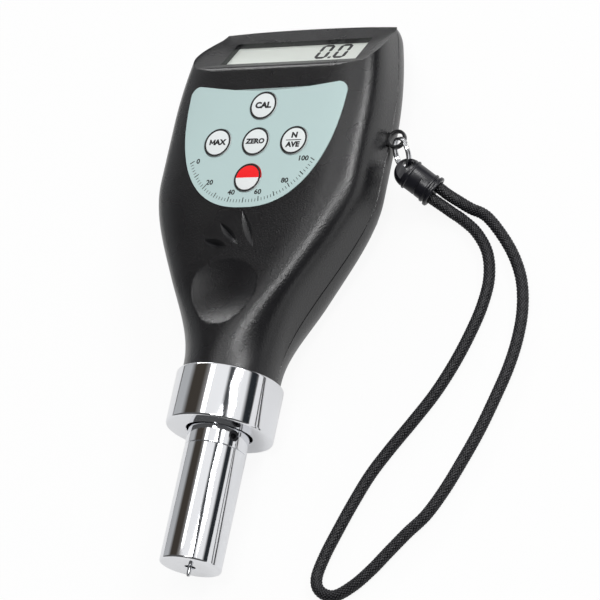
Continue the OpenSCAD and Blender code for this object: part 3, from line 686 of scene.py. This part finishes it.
# %% Front shell
SKIN_STEPS, SKIN_ROWS, HOLLOW_STEPS, HOLLOW_ROWS = 110, 120, 40, 50
skin_rows = stations(NECK_END, HEAD_END, SKIN_ROWS)
hollow_rows = stations(NECK_END - 1, HEAD_Y - WALL, HOLLOW_ROWS)
outer = [section(y, True, SKIN_STEPS) for y in skin_rows]
inner = [section(y, True, HOLLOW_STEPS, WALL, SKIRT) for y in hollow_rows]
front = lofted("front_skin", outer)
hollow = lofted("hollow", inner)
carve(hollow, [at_window(slab("plate", WIDE, WIDE, -PLATE_T, TALL))])
thumb_r = (THUMB_HALF**2 + THUMB_DEPTH**2) / (2 * THUMB_DEPTH)
thumb_at = (-0.3, NECK_Y + 21.6, BODY_T + thumb_r - THUMB_DEPTH)
cuts = [
    above_slope(),
    funnel(),
    lip_round(),
    at_window(slab("window", WINDOW_W, WINDOW_H, -PLATE_T - 1, 1)),
    hollow,
    lofted("film_bed", film_rows(0.1, FILM_UNDER, 3)),
    ball("thumb", thumb_at, thumb_r, THUMB_STRETCH),
    *[leaf(*spec) for spec in LEAVES],
    block("slot", (27.1, 4.35, 11.6), (37.1, 8.45, 14.1)),
    *key_holes(),
]
carve(front, [head_arc()], "INTERSECT")
carve(front, cuts)
weld(front)


def on_slope(p):
    tilt = math.radians(BEZEL_TILT)
    return abs((p.y - LIP_AT[1]) * math.sin(tilt) + (p.z - LIP_AT[2]) * math.cos(tilt)) < 0.06


print("softened rim edges", soften(front, on_slope, 0.5))
dress(even_shading(front), "housing", black_plastic, "housing", "front_shell")
print("front shell faces", len(front.data.polygons))

# %% [markdown]
# ## The rear shell and the battery door
#
# The back is rounder than the front and flat where it rests. A door slides off the display end on
# two tongues. Both skins come from one loft, so they meet in one surface with a fine gap.


# %% Rear shell and door
DOOR_HALF, DOOR_FROM, DOOR_GAP = 22, -29.5, 0.15
TONGUE, TONGUE_LOW, TONGUE_HIGH, RAIL_HALF = 1.2, 2.15, 2.85, 20.8
SCREW_X, SCREW_Y, SEAT_R, SHANK_R = 26.5, 14, 2.35, 1.25
GRIPS, GRIP_R, GRIP_HALF, GRIP_STEP = 6, 0.45, 7, 1.6


def door_form(name, gap):
    side, rail = DOOR_HALF + gap, RAIL_HALF - gap
    low, high = TONGUE_LOW - gap, TONGUE_HIGH + gap
    half = [(side, -1), (side, low), (side + TONGUE, low), (side + TONGUE, high), (rail, high)]
    half.append((rail, 2 + gap))
    outline = half + [(-x, z) for x, z in reversed(half)]
    return lofted(name, [[(x, y, z) for x, z in outline] for y in (DOOR_FROM - gap, HEAD_Y + 10)])


back_rings = [section(y, False, SKIN_STEPS) for y in skin_rows]
rear = lofted("rear_skin", back_rings)
door = lofted("door_skin", back_rings)
for shell in (rear, door):
    carve(shell, [head_arc()], "INTERSECT")
inside = [section(y, False, HOLLOW_STEPS, WALL, SKIRT, HEAD_Y - WALL) for y in hollow_rows]
cavity = lofted("cavity", inside)
carve(cavity, [block("deck", (-25.2, -33, 0), (25.2, 43, 4.2))])
rear_cuts = [above_slope(), cavity, door_form("room", DOOR_GAP)]
rear_cuts.append(block("bay", (-22.15, -27, -1), (22.15, 22.5, 5.2)))
for x in (-SCREW_X, SCREW_X):
    for y in (-SCREW_Y, SCREW_Y):
        rear_cuts += [rod("seat", x, y, SEAT_R, -1, 6), rod("shank", x, y, SHANK_R, 5, 14)]
carve(rear, rear_cuts)
carve(door, [door_form("door", 0.0)], "INTERSECT")
grips = []
for i in range(GRIPS):
    grip = rod("grip", 0, 0, GRIP_R, -GRIP_HALF, GRIP_HALF, 24)
    shift = Matrix.Translation((0, (HEAD_Y - 14 - GRIP_STEP * i) * MM, 0))
    grip.data.transform(shift @ Matrix.Rotation(math.pi / 2, 4, "Y"))
    grips.append(grip)
carve(door, grips)
dress(weld(rear), "housing", black_plastic, "housing", "rear_shell")
dress(weld(door), "door", black_plastic, "housing", "battery_door")
print("rear faces", len(rear.data.polygons), "door faces", len(door.data.polygons))

# %% [markdown]
# ## The turned sensor
#
# The collar, the hub and the sleeve are turned on a lathe, polished and chromed. A lathe leaves no
# knife edges, so each corner of a profile gets a small radius before it is spun. That radius is
# what catches the light.


# %% Spinning helper
def eased(profile, radii, steps=4):
    """The profile with each corner rounded by its radius, by a short parabola."""
    out = []
    for k, (p, r) in enumerate(zip(profile, radii)):
        p = np.array(p, float)
        if not r:
            out.append(tuple(p))
            continue
        a, b = np.array(profile[k - 1]) - p, np.array(profile[(k + 1) % len(profile)]) - p
        a, b = p + a / np.linalg.norm(a) * r, p + b / np.linalg.norm(b) * r
        for t in np.linspace(0, 1, steps + 1):
            out.append(tuple((1 - t) ** 2 * a + 2 * t * (1 - t) * p + t * t * b))
    return out


def spun(name, profile, steps=160, along_y=True, at=(0, 0)):
    turn = np.arange(steps) * 2 * math.pi / steps
    rings = []
    for r, d in profile:
        if along_y:
            rings.append([(r * math.cos(a), FOOT_Y + d, AXIS_H + r * math.sin(a)) for a in turn])
        else:
            rings.append([(at[0] + r * math.cos(a), at[1] + r * math.sin(a), d) for a in turn])
    points = [p for ring in rings for p in ring]
    faces = []
    for k in range(len(rings)):
        for j in range(steps):
            n, m = (k + 1) % len(rings), (j + 1) % steps
            faces.append((k * steps + j, k * steps + m, n * steps + m, n * steps + j))
    return weld(new_object(new_mesh(name, points, faces)))


collar = spun(
    "collar_ring",
    eased(
        [(9.1, 37.7), (14.7, 37.7), (14.7, 52.7), (13.45, 52.7), (13.45, 40.9), (9.1, 40.9)],
        [0.3, 0.6, 0.6, 0.2, 0, 0],
    ),
)
dress(collar, "housing", chrome, "chrome", "sensor_collar")
sleeve = spun(
    "foot_sleeve_skin",
    eased(
        [(1.5, 0), (8.4, 0), (8.4, 32.7), (6.6, 32.7), (6.6, 38.7), (5.3, 38.7), (5.3, 3.2),
         (1.5, 3.2)],
        [0.15, 0.6, 0.22, 0, 0, 0, 0, 0],
    ),
)
dress(sleeve, "housing", chrome, "chrome", "foot_sleeve")
hub = spun(
    "hub_skin",
    eased(
        [(6.62, 32.7), (8.4, 32.7), (8.4, 46), (10.5, 46), (10.5, 49), (7.2, 49), (7.2, 60),
         (2.2, 60), (2.2, 58.5), (5.57, 58.5), (5.57, 39), (6.62, 39)],
        [0, 0.22, 0, 0.2, 0.2, 0, 0, 0, 0, 0, 0, 0],
    ),
)
SCREW_R, SCREW_UP, SCREW_RISE = 1.52, 35.8, 27.7
screw_way = rod("screw_way", 0, 0, SCREW_R, 0, 16)
screw_turn = Matrix.Rotation(math.radians(90 - SCREW_RISE), 4, "Y")
screw_at = Vector((0, FOOT_Y + SCREW_UP, AXIS_H)) * MM
screw_way.data.transform(Matrix.Translation(screw_at) @ screw_turn)
carve(hub, [screw_way])
dress(weld(hub), "housing", chrome, "chrome", "sensor_hub")
print("turned pieces", 3)

# %% [markdown]
# ## Keys and their prints
#
# Each key is a round cap that stands just proud of the film, with a printed ring and a short
# legend. The legends are text turned into thin meshes, so they move with their keys. The power key
# has no words: one half is red.

# %% Key caps
KEY_TOP = BODY_T + 0.3
for key, (x, y) in KEYS.items():
    profile = eased(
        [(0, 20.2), (1.5, 20.2), (1.5, 24.7), (5, 24.7), (5, 25.7), (KEY_R, 25.7), (KEY_R, KEY_TOP),
         (0, KEY_TOP)],
        [0, 0.2, 0, 0.2, 0.2, 0, 0.25, 0],
    )
    cap = spun("cap_" + key, profile, 96, False, (x, y))
    finish, slot = (power_print, "key_red") if key == "power" else (key_white, "key_white")
    dress(cap, key, finish, slot, "key_" + key)
print("caps", len(KEYS))


# %% Printed rings and legends
INK_T, RIM_IN, RIM_OUT, RIM_Z = 0.02, 3.6, 4.16, KEY_TOP - 0.005


def printed(obj, body):
    return dress(obj, body, ink_black, "dark_plastic")


def words(name, text, size, at, body, wide=1.12, weight=0.055, drape=None):
    """Flat printed text, laid over a curved face if its height rule is given."""
    curve = bpy.data.curves.new(name, "FONT")
    curve.body, curve.size = text, size
    curve.align_x, curve.align_y = "CENTER", "CENTER"
    curve.offset, curve.extrude, curve.resolution_u = weight * size, 0.01, 3
    letters = linked(name, curve)
    mesh = final_mesh(letters)
    bpy.data.objects.remove(letters)
    mesh.name = name
    mesh.transform(Matrix.Translation(Vector(at) * MM) @ Matrix.Diagonal((wide * MM, MM, MM, 1)))
    for v in mesh.vertices if drape else ():
        v.co.z += (drape(v.co.x / MM, v.co.y / MM) - drape(at[0], at[1])) * MM
    return printed(weld(new_object(mesh), 30, 1e-8), body)


def stroke(a, b, wide):
    """A flat printed bar from a to b on a key."""
    a, b = np.array(a, float), np.array(b, float)
    n = (b - a)[::-1] * (-1, 1) / np.linalg.norm(b - a) * wide / 2
    line = [a + n, a - n, b - n, b + n]
    return lofted("stroke", [[(*p, KEY_TOP + h) for p in line] for h in (0, INK_T)])


rim = [(RIM_IN, RIM_Z), (RIM_OUT, RIM_Z), (RIM_OUT, RIM_Z + INK_T), (RIM_IN, RIM_Z + INK_T)]
for key, at in KEYS.items():
    printed(spun("ring_" + key, rim, 96, False, at), key)
for key, text, size, shift in (
    ("cal", "CAL", 2.4, (0, 0)),
    ("max", "AX", 2.2, (0.88, 0)),
    ("zero", "ZERO", 2.0, (0, 0)),
    ("average", "N", 2.2, (0, 1.45)),
    ("average", "AVE", 2.1, (0, -1.35)),
):
    x, y = KEYS[key][0] + shift[0], KEYS[key][1] + shift[1]
    words("legend_" + text.lower(), text, size, (x, y, KEY_TOP + 0.01), key)
x, y = KEYS["max"]
left, right, foot, top = x - 2.3, x - 0.95, y - 0.72, y + 0.92
STEM, DIAGONAL = 0.44, 0.4
letter = stroke((left, foot), (left, top), STEM)
middle = ((left + right) / 2, foot + 0.4)
carve(letter, [stroke((side_x, top - 0.1), middle, DIAGONAL) for side_x in (left, right)], "UNION")
carve(letter, [stroke((right, foot), (right, top), STEM)], "UNION")
letter.name = "legend_m"
printed(weld(letter, 30, 1e-8), "max")
x, half = KEYS["average"][0], 2.4
bar = block("legend_bar", (x - half, -0.08, KEY_TOP), (x + half, 0.16, KEY_TOP + INK_T))
printed(bar, "average")
print("legends", 5)

# %% [markdown]
# ## The scale round the keypad
#
# A row of fine ticks follows the lower edge of the film, with numbers from 0 to 100. Ticks that
# follow a path are what Geometry Nodes do well: the path becomes a curve, the curve becomes evenly
# spaced points, and each point gets one bar turned across the path.

# %% Tick tree
ticks_tree = bpy.data.node_groups.new("ticks_on_path", "GeometryNodeTree")
face = ticks_tree.interface
face.new_socket("Geometry", in_out="INPUT", socket_type="NodeSocketGeometry")
count_id = face.new_socket("Count", in_out="INPUT", socket_type="NodeSocketInt").identifier
long_id = face.new_socket("Length", in_out="INPUT", socket_type="NodeSocketFloat").identifier
wide_id = face.new_socket("Width", in_out="INPUT", socket_type="NodeSocketFloat").identifier
face.new_socket("Geometry", in_out="OUTPUT", socket_type="NodeSocketGeometry")
given = ticks_tree.nodes.new("NodeGroupInput")
line, count, length, width = [Value(ticks_tree, socket) for socket in given.outputs[:4]]
path = make(ticks_tree, "GeometryNodeMeshToCurve", {}, {"Mesh": line})
even = make(ticks_tree, "GeometryNodeResampleCurve", {}, {"Curve": path, "Count": count})
size = make(ticks_tree, "ShaderNodeCombineXYZ", {}, {"X": width, "Y": length, "Z": 0.00003})
bar_mesh = make(ticks_tree, "GeometryNodeMeshCube", {}, {"Size": size})
tangent = make(ticks_tree, "GeometryNodeInputTangent")
turned_bar = make(
    ticks_tree,
    "FunctionNodeAlignRotationToVector",
    {"axis": "X", "pivot_axis": "Z"},
    {"Vector": tangent},
)
placed = make(
    ticks_tree,
    "GeometryNodeInstanceOnPoints",
    {},
    {"Points": even, "Instance": bar_mesh, "Rotation": turned_bar},
)
real = make(ticks_tree, "GeometryNodeRealizeInstances", {}, {"Geometry": placed})
inked = make(ticks_tree, "GeometryNodeSetMaterial", {}, {"Geometry": real, "Material": ink_black})
result = ticks_tree.nodes.new("NodeGroupOutput")
ticks_tree.links.new(inked.socket, result.inputs["Geometry"])
print("tick nodes", len(ticks_tree.nodes))


# %% Ticks and numbers
BAR_CORNERS = 8


def film_edge(angle, inset):
    power = 2 / FILM_POWER
    half = (FILM_W / 2 - inset) * math.cos(abs(angle)) ** power * math.copysign(1, angle)
    y = FILM_TOP - inset - (FILM_LEN - 2 * inset) * math.sin(abs(angle)) ** power
    return half, y


def arc_line(inset, first=36, steps=60):
    side = [film_edge(math.radians(a), inset) for a in np.linspace(first, 89.9, steps)]
    line = [(-x, y) for x, y in side] + side[::-1]
    return [(x, y, face_height(x, y) + FILM_OVER) for x, y in line]


def ticks(name, inset, count, length, width):
    """A row of bars, each then draped over the curved film."""
    line = arc_line(inset)
    mesh = bpy.data.meshes.new(name)
    links = [(k, k + 1) for k in range(len(line) - 1)]
    mesh.from_pydata([tuple(c * MM for c in p) for p in line], links, [])
    obj = new_object(mesh)
    tool = obj.modifiers.new("ticks", "NODES")
    tool.node_group = ticks_tree
    tool[count_id], tool[long_id], tool[wide_id] = count, length * MM, width * MM
    settle(obj)
    corners = [v.co for v in obj.data.vertices]
    for k in range(0, len(corners), BAR_CORNERS):
        group = corners[k : k + BAR_CORNERS]
        middle = sum(c.z for c in group) / BAR_CORNERS
        for c in group:
            lift = math.copysign(INK_T, c.z - middle)
            c.z = (face_height(c.x / MM, c.y / MM) + FILM_OVER + lift) * MM
    return printed(obj, "housing")


ticks("fine_ticks", 1.9, 51, 0.9, 0.16)
ticks("long_ticks", 2.15, 11, 1.5, 0.26)
NUMBERS, LAST_SHIFT, NUMBER_LIFT = 6, 1.0, 0.115
number_line = np.array(arc_line(4.2))
run = np.concatenate([[0], np.cumsum(np.linalg.norm(np.diff(number_line, axis=0), axis=1))])
for k in range(NUMBERS):
    place_on = run[-1] * (0.01 + 0.98 * k / (NUMBERS - 1))
    at = [np.interp(place_on, run, number_line[:, i]) for i in range(3)]
    left = at[0] - LAST_SHIFT * (k == NUMBERS - 1)
    spot = (left, at[1], face_height(left, at[1]) + NUMBER_LIFT)
    label = str(20 * k)
    words("scale_" + label, label, 2.0, spot, "housing", weight=0.03, drape=face_height)
print("scale numbers", NUMBERS)

# %% [markdown]
# ## The display
#
# The liquid crystal panel lies behind a clear lens. Its digits are seven-segment figures that lean
# a little, so they are built from six-sided bars in the window's own plane.


# %% Display
DIGIT_H, DIGIT_W, INK, LEAN = 6.6, 3.0, 1.0, 0.02
DIGITS_X, DIGITS_Y = (6.5, 12.3), -1.7
DOT_AT, DOT = (10.5, -2.1), 0.9


def in_window(points):
    turn = Matrix.Rotation(math.radians(-WINDOW_TILT), 3, "X")
    return [Vector(WINDOW_AT) + turn @ Vector(p) for p in points]


def segment(a, b, thick, low, high):
    a, b = np.array(a, float), np.array(b, float)
    d = (b - a) / np.linalg.norm(b - a)
    n = np.array((-d[1], d[0]))
    h = thick / 2
    line = [a, a + d * h + n * h, b - d * h + n * h, b, b - d * h - n * h, a + d * h - n * h]
    return [[(x + LEAN * y, y, w) for x, y in line] for w in (low, high)]


def figure_bars(x, y, w, h, gap=0.03):
    corners = [(x, y), (x + w, y), (x + w, y + h / 2), (x + w, y + h), (x, y + h), (x, y + h / 2)]
    for k in range(len(corners)):
        a, b = np.array(corners[k]), np.array(corners[(k + 1) % len(corners)])
        d = (b - a) / np.linalg.norm(b - a) * gap
        yield a + d, b - d


low, high = -PLATE_T + 0.005, -PLATE_T + 0.04
shapes = []
for x in DIGITS_X:
    bars = figure_bars(x, DIGITS_Y, DIGIT_W, DIGIT_H)
    shapes += [segment(a, b, INK, low, high) for a, b in bars]
square = ((0, 0), (DOT, 0), (DOT, DOT), (0, DOT))
shapes.append([[(DOT_AT[0] + c, DOT_AT[1] + s, w) for c, s in square] for w in (low, high)])
for k, rings in enumerate(shapes):
    bar = lofted("digit_bar_%d" % k, [in_window(ring) for ring in rings])
    printed(bar, "housing")
print("digit bars", len(shapes))

# %% [markdown]
# ## Ring, ferrule and anchor
#
# A split ring is flat spring wire wound twice, so its two turns show as a line round the rim and
# it has two cut ends. The ferrule is a turned cap with three beads, spun finely because its gloss
# shows every facet. Then it is cut for the ring, the two strands and the half groove. The anchor
# follows in a later cell, because it only needs eased edges.

# %% Split ring
EYE = np.array((35.1, 6.4, PART_H + 0.75))
ring_out = np.array((0.4, -0.85, -0.33))
ring_out /= np.linalg.norm(ring_out)
ring_axis = np.cross(ring_out, (0.679, 0.126, 0.723))
ring_axis /= np.linalg.norm(ring_axis)
ring_side = np.cross(ring_axis, ring_out)
RING_R, RING_STEP, RING_START = 4.15, 0.75, 1.9
WIRE_HALF, WIRE_FLAT = 0.35, 0.22
wire = [(-WIRE_HALF, -WIRE_FLAT), (-WIRE_FLAT, -WIRE_HALF)]
wire += [(-u, v) for u, v in reversed(wire)]
wire += [(-u, -v) for u, v in wire]
rings = []
for a in np.linspace(0, 4 * math.pi, 241):
    rise = -RING_STEP / 2 + RING_STEP * ease((a - 1.6 * math.pi) / (0.8 * math.pi))
    spoke = math.cos(a + RING_START) * ring_out + math.sin(a + RING_START) * ring_side
    middle = EYE + RING_R * ring_out + RING_R * spoke + rise * ring_axis
    rings.append([middle + u * spoke + v * ring_axis for u, v in wire])
split = lofted("split_coil", rings, 50)
dress(split, "ring", chrome, "chrome", "split_ring")
print("ring faces", len(split.data.polygons))

# %% Ferrule
TIP_OFF, EYE_R, STRAND_OFF, DOME_R, DOME_TO = 1.2, 1.55, 1.75, 4.1, 1.5
aim, drop = math.radians(-31), math.radians(30)
flat = math.cos(drop)
fall = np.array((flat * math.cos(aim), flat * math.sin(aim), -math.sin(drop)))
hold = ring_side - np.dot(ring_side, fall) * fall
hold /= np.linalg.norm(hold)
third = np.cross(fall, hold)
level = np.array((-math.sin(aim), math.cos(aim), 0))
bend = np.radians(np.linspace(0, 88, 30))
dome = [(DOME_R * math.sin(a), DOME_TO - DOME_R * math.cos(a)) for a in bend]
rims = [
    (4.0, 1.9, 0.1), (4.35, 1.9, 0.18), (4.35, 2.5, 0.2), (4.0, 2.5, 0.1),
    (4.0, 7.9, 0.1), (4.3, 7.9, 0.18), (4.3, 8.6, 0.2), (4.0, 8.6, 0.1),
    (4.0, 9.2, 0.1), (4.55, 9.2, 0.3), (4.55, 10.2, 0.4), (0, 10.2, 0),
]
profile = dome + [(r, z) for r, z, c in rims]
radii = [0] * len(dome) + [c for r, z, c in rims]
ferrule = spun("ferrule_skin", eased(profile, radii), 128, False, (0, TIP_OFF))
eye_way = rod("eye_way", 0, 0, EYE_R, -6, 6)
eye_way.data.transform(Matrix.Rotation(math.pi / 2, 4, "Y"))
holes = [eye_way]
for s in (-1, 1):
    inner, outer = sorted((1.4 * s, 11 * s))
    holes.append(block("flat", (inner, -12, -6), (outer, 12, 0.9)))
    x, y = s * STRAND_OFF * level @ hold, TIP_OFF + s * STRAND_OFF * level @ third
    holes.append(rod("bore", x, y, CORD_D / 2 + 0.2, 7.4, 14))
groove = spun("groove", [(3.65, 5.6), (5, 5.6), (5, 6), (3.65, 6)], 128, False, (0, TIP_OFF))
carve(groove, [block("stop", (-9, -9, 5), (9, TIP_OFF + 1, 7))])
carve(ferrule, holes + [groove])
soften(weld(ferrule), lambda p: True, 0.16, 3, 40)
stand = Matrix(np.stack([hold, third, fall], axis=1).tolist()).to_4x4()
ring_far = Vector(EYE + 2 * RING_R * ring_out) * MM
ferrule.data.transform(Matrix.Translation(ring_far) @ stand)
dress(ferrule, "strap", ferrule_gloss, "ferrule", "strap_ferrule")
print("ferrule faces", len(ferrule.data.polygons))

# %% [markdown]
# ## Pieces that keep their CAD shape
#
# Some pieces only need smooth shading and a finish. The load spring also gets shorter as the
# indenter goes in. Here it gets a mesh of its own, and its length is printed.


# %% CAD shapes that stay
def smooth_copy(node, material, slot, angle=30):
    mesh = nodes[node].data.copy()
    mesh.name = node + "_smooth"
    obj = weld(new_object(mesh), angle)
    bodies = frame["record"]["behaviour"]["bodies"]
    body = next(b for b, members in bodies.items() if node in members)
    return dress(obj, body, material, slot, node)


anchor = smooth_copy("strap_anchor", black_plastic, "dark_plastic")
print("softened edges", anchor.name, soften(anchor, lambda p: True, 0.25, 3, 40))
smooth_copy("set_screw", dark_steel, "dark_steel")
smooth_copy("indenter", bright_steel, "steel")
smooth_copy("case_screws", bright_steel, "steel")
spring = smooth_copy("load_spring", bright_steel, "steel")
low, top = [pick(v.co.y for v in spring.data.vertices) for pick in (min, max)]
1 - 0.0025 / (top - low)
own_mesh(spring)
print("spring length", round(top - low, 5))
keep = {
    "tact_switches": inner_black, "main_board": board_green, "board_screws": bright_steel,
    "lcd_lens": clear_lens, "lcd_panel": panel_grey, "lcd_frame": pale_plastic,
    "contact_strips": striped_rubber, "lcd_board": board_green, "display_flex": amber_film,
    "battery_holder": inner_black, "battery_cells": cell_wrap, "battery_springs": bright_steel,
    "battery_contacts": bright_steel, "guide_bush": turned_brass, "plunger": bright_steel,
    "spring_adjuster": turned_brass, "transducer_core": dark_steel,
    "transducer_coil": copper_winding, "sensor_lead": amber_film,
}
for node, material in keep.items():
    nodes[node].data.materials.clear()
    nodes[node].data.materials.append(material)
print("kept CAD nodes", len(keep))

# %% [markdown]
# ## Floor and light
#
# The gauge lies on a white sheet. The floor shows white to the camera and in reflections, and it
# still takes a soft shadow. Behind the display it is dark to reflections, which keeps the sloping
# bezel black. Polished metal only looks like metal when there is something to reflect, so the
# studio round the gauge has bright and dark bands that run along the barrel: the band seen in a
# direction depends on that direction's angle about the barrel. Away from the barrel's own mirror
# directions the bands fade to an even grey, and far behind to a soft light for the lip and the
# grooves.
#
# A slanted strip of three lamps gives the black shoulder its long highlight. Its middle is set
# aside, so the barrel keeps its dark line. A weak lamp above and one behind light the far side and
# the lip.

# %% Floor
FLOOR_HALF, FLOOR_Z = 6, -0.0002
FAR_FROM, FAR_TO = 0.06, 0.11
mesh = bpy.data.meshes.new("floor")
square = [(-1, -1), (1, -1), (1, 1), (-1, 1)]
corners = [(FLOOR_HALF * x, FLOOR_HALF * y, FLOOR_Z) for x, y in square]
mesh.from_pydata(corners, [], [(0, 1, 2, 3)])
floor = new_object(mesh)
white_sheet, tree, shader = surface("white_sheet", Base_Color=(0.9, 0.9, 0.9, 1), Roughness=0.9)
rays = tree.nodes.new("ShaderNodeLightPath")
by_eye, by_gloss, by_lens = [
    Value(tree, rays.outputs[n]) for n in ("Is Camera Ray", "Is Glossy Ray", "Is Transmission Ray")
]
glow = make(tree, "ShaderNodeEmission", {}, {"Color": (1, 1, 1, 1), "Strength": 1.0})
far = soft_step(tree, parts(tree, place(tree))[1], FAR_FROM, FAR_TO)
tinted(tree, shader, far, (0.9, 0.9, 0.9, 1), (0.06, 0.06, 0.06, 1))
share = (by_eye + by_lens) * (far * 0.08 + 0.92) + by_gloss * (far * -0.4 + 0.4)
paper = Value(tree, shader.outputs[0])
blend = make(tree, "ShaderNodeMixShader", {}, {0: share, 1: paper, 2: glow})
tree.links.new(blend.socket, tree.nodes["Material Output"].inputs["Surface"])
floor.data.materials.append(white_sheet)
print("floor ready")

# %% World
EVEN_GREY, BACK_LIGHT, STUDIO = (0.13, 0.13, 0.13, 1), (1.3, 1.3, 1.3, 1), 0.79
world = bpy.data.worlds.new("studio")
bpy.context.scene.world = world
world.use_nodes = True
tree = world.node_tree
across, depth, upward = parts(tree, make(tree, "ShaderNodeTexCoord", output="Generated"))
angle = make(tree, "ShaderNodeMath", {"operation": "ARCTAN2"}, {0: upward, 1: across})
turn = angle * (1 / math.pi)
bands = tree.nodes.new("ShaderNodeValToRGB")
STOPS = [
    (0.0, 0.03, 0.04), (0.075, 0.03, 0.04), (0.12, 1.25, 1.25), (0.265, 1.25, 1.25),
    (0.292, 0.06, 0.07), (0.333, 0.06, 0.07), (0.365, 1.3, 1.3), (0.51, 1.3, 1.3),
    (0.58, 0.4, 0.38), (0.65, 0.07, 0.05), (0.785, 0.07, 0.05), (0.86, 0.62, 0.64),
    (1.0, 0.62, 0.64),
]
while len(bands.color_ramp.elements) < len(STOPS):
    bands.color_ramp.elements.new(0.5)
for element, (at, warm, cool) in zip(bands.color_ramp.elements, STOPS):
    element.position, element.color = at, (warm, (warm + cool) / 2, cool, 1)
tree.links.new(turn.socket, bands.inputs[0])
aside = make(tree, "ShaderNodeMath", {"operation": "ABSOLUTE"}, {0: depth - 0.33})
near = soft_step(tree, aside, 0.42, 0.2)
behind = soft_step(tree, depth, 0.5, 0.64)
raised = soft_step(tree, upward, 0.15, 0.38)
plain = mixed(tree, behind * raised, EVEN_GREY, BACK_LIGHT)
around = mixed(tree, near, plain, Value(tree, bands.outputs[0]))
tree.links.new(around.socket, tree.nodes["Background"].inputs["Color"])
tree.nodes["Background"].inputs["Strength"].default_value = STUDIO
print("band stops", len(STOPS))


# %% Lamps
def lamp(name, at, along, size, power, target=(0, -0.02, 0.01)):
    """A lamp that faces the target, with its long side turned along a direction."""
    light = bpy.data.lights.new(name, "AREA")
    light.shape, light.energy = "RECTANGLE", power
    light.size, light.size_y = size
    obj = linked(name, light)
    out = (Vector(at) - Vector(target)).normalized()
    long = (Vector(along) - out * out.dot(Vector(along))).normalized()
    turn = Matrix((long, out.cross(long), out)).transposed().to_4x4()
    obj.matrix_world = Matrix.Translation(at) @ turn


SLANT = (0.536, 0.694, -0.479)
LAMPS = [
    ("low_strip", (0.975, -0.15, 2.83), SLANT, (1.73, 0.42), 31),
    ("mid_strip", (2.18, 0.63, 1.96), SLANT, (0.52, 0.42), 7),
    ("high_strip", (1.975, 1.155, 1.94), SLANT, (1.0, 0.42), 18),
    ("top_lamp", (-0.5, 0.9, 2.85), (0, 1, 0), (1.1, 0.5), 4),
    ("back_lamp", (-1.56, 2.28, 1.17), (0.83, 0.56, 0), (1.4, 0.5), 20),
]
for spec in LAMPS:
    lamp(*spec)
bpy.context.scene.view_settings.view_transform = "Standard"
print("lamps", len(LAMPS))
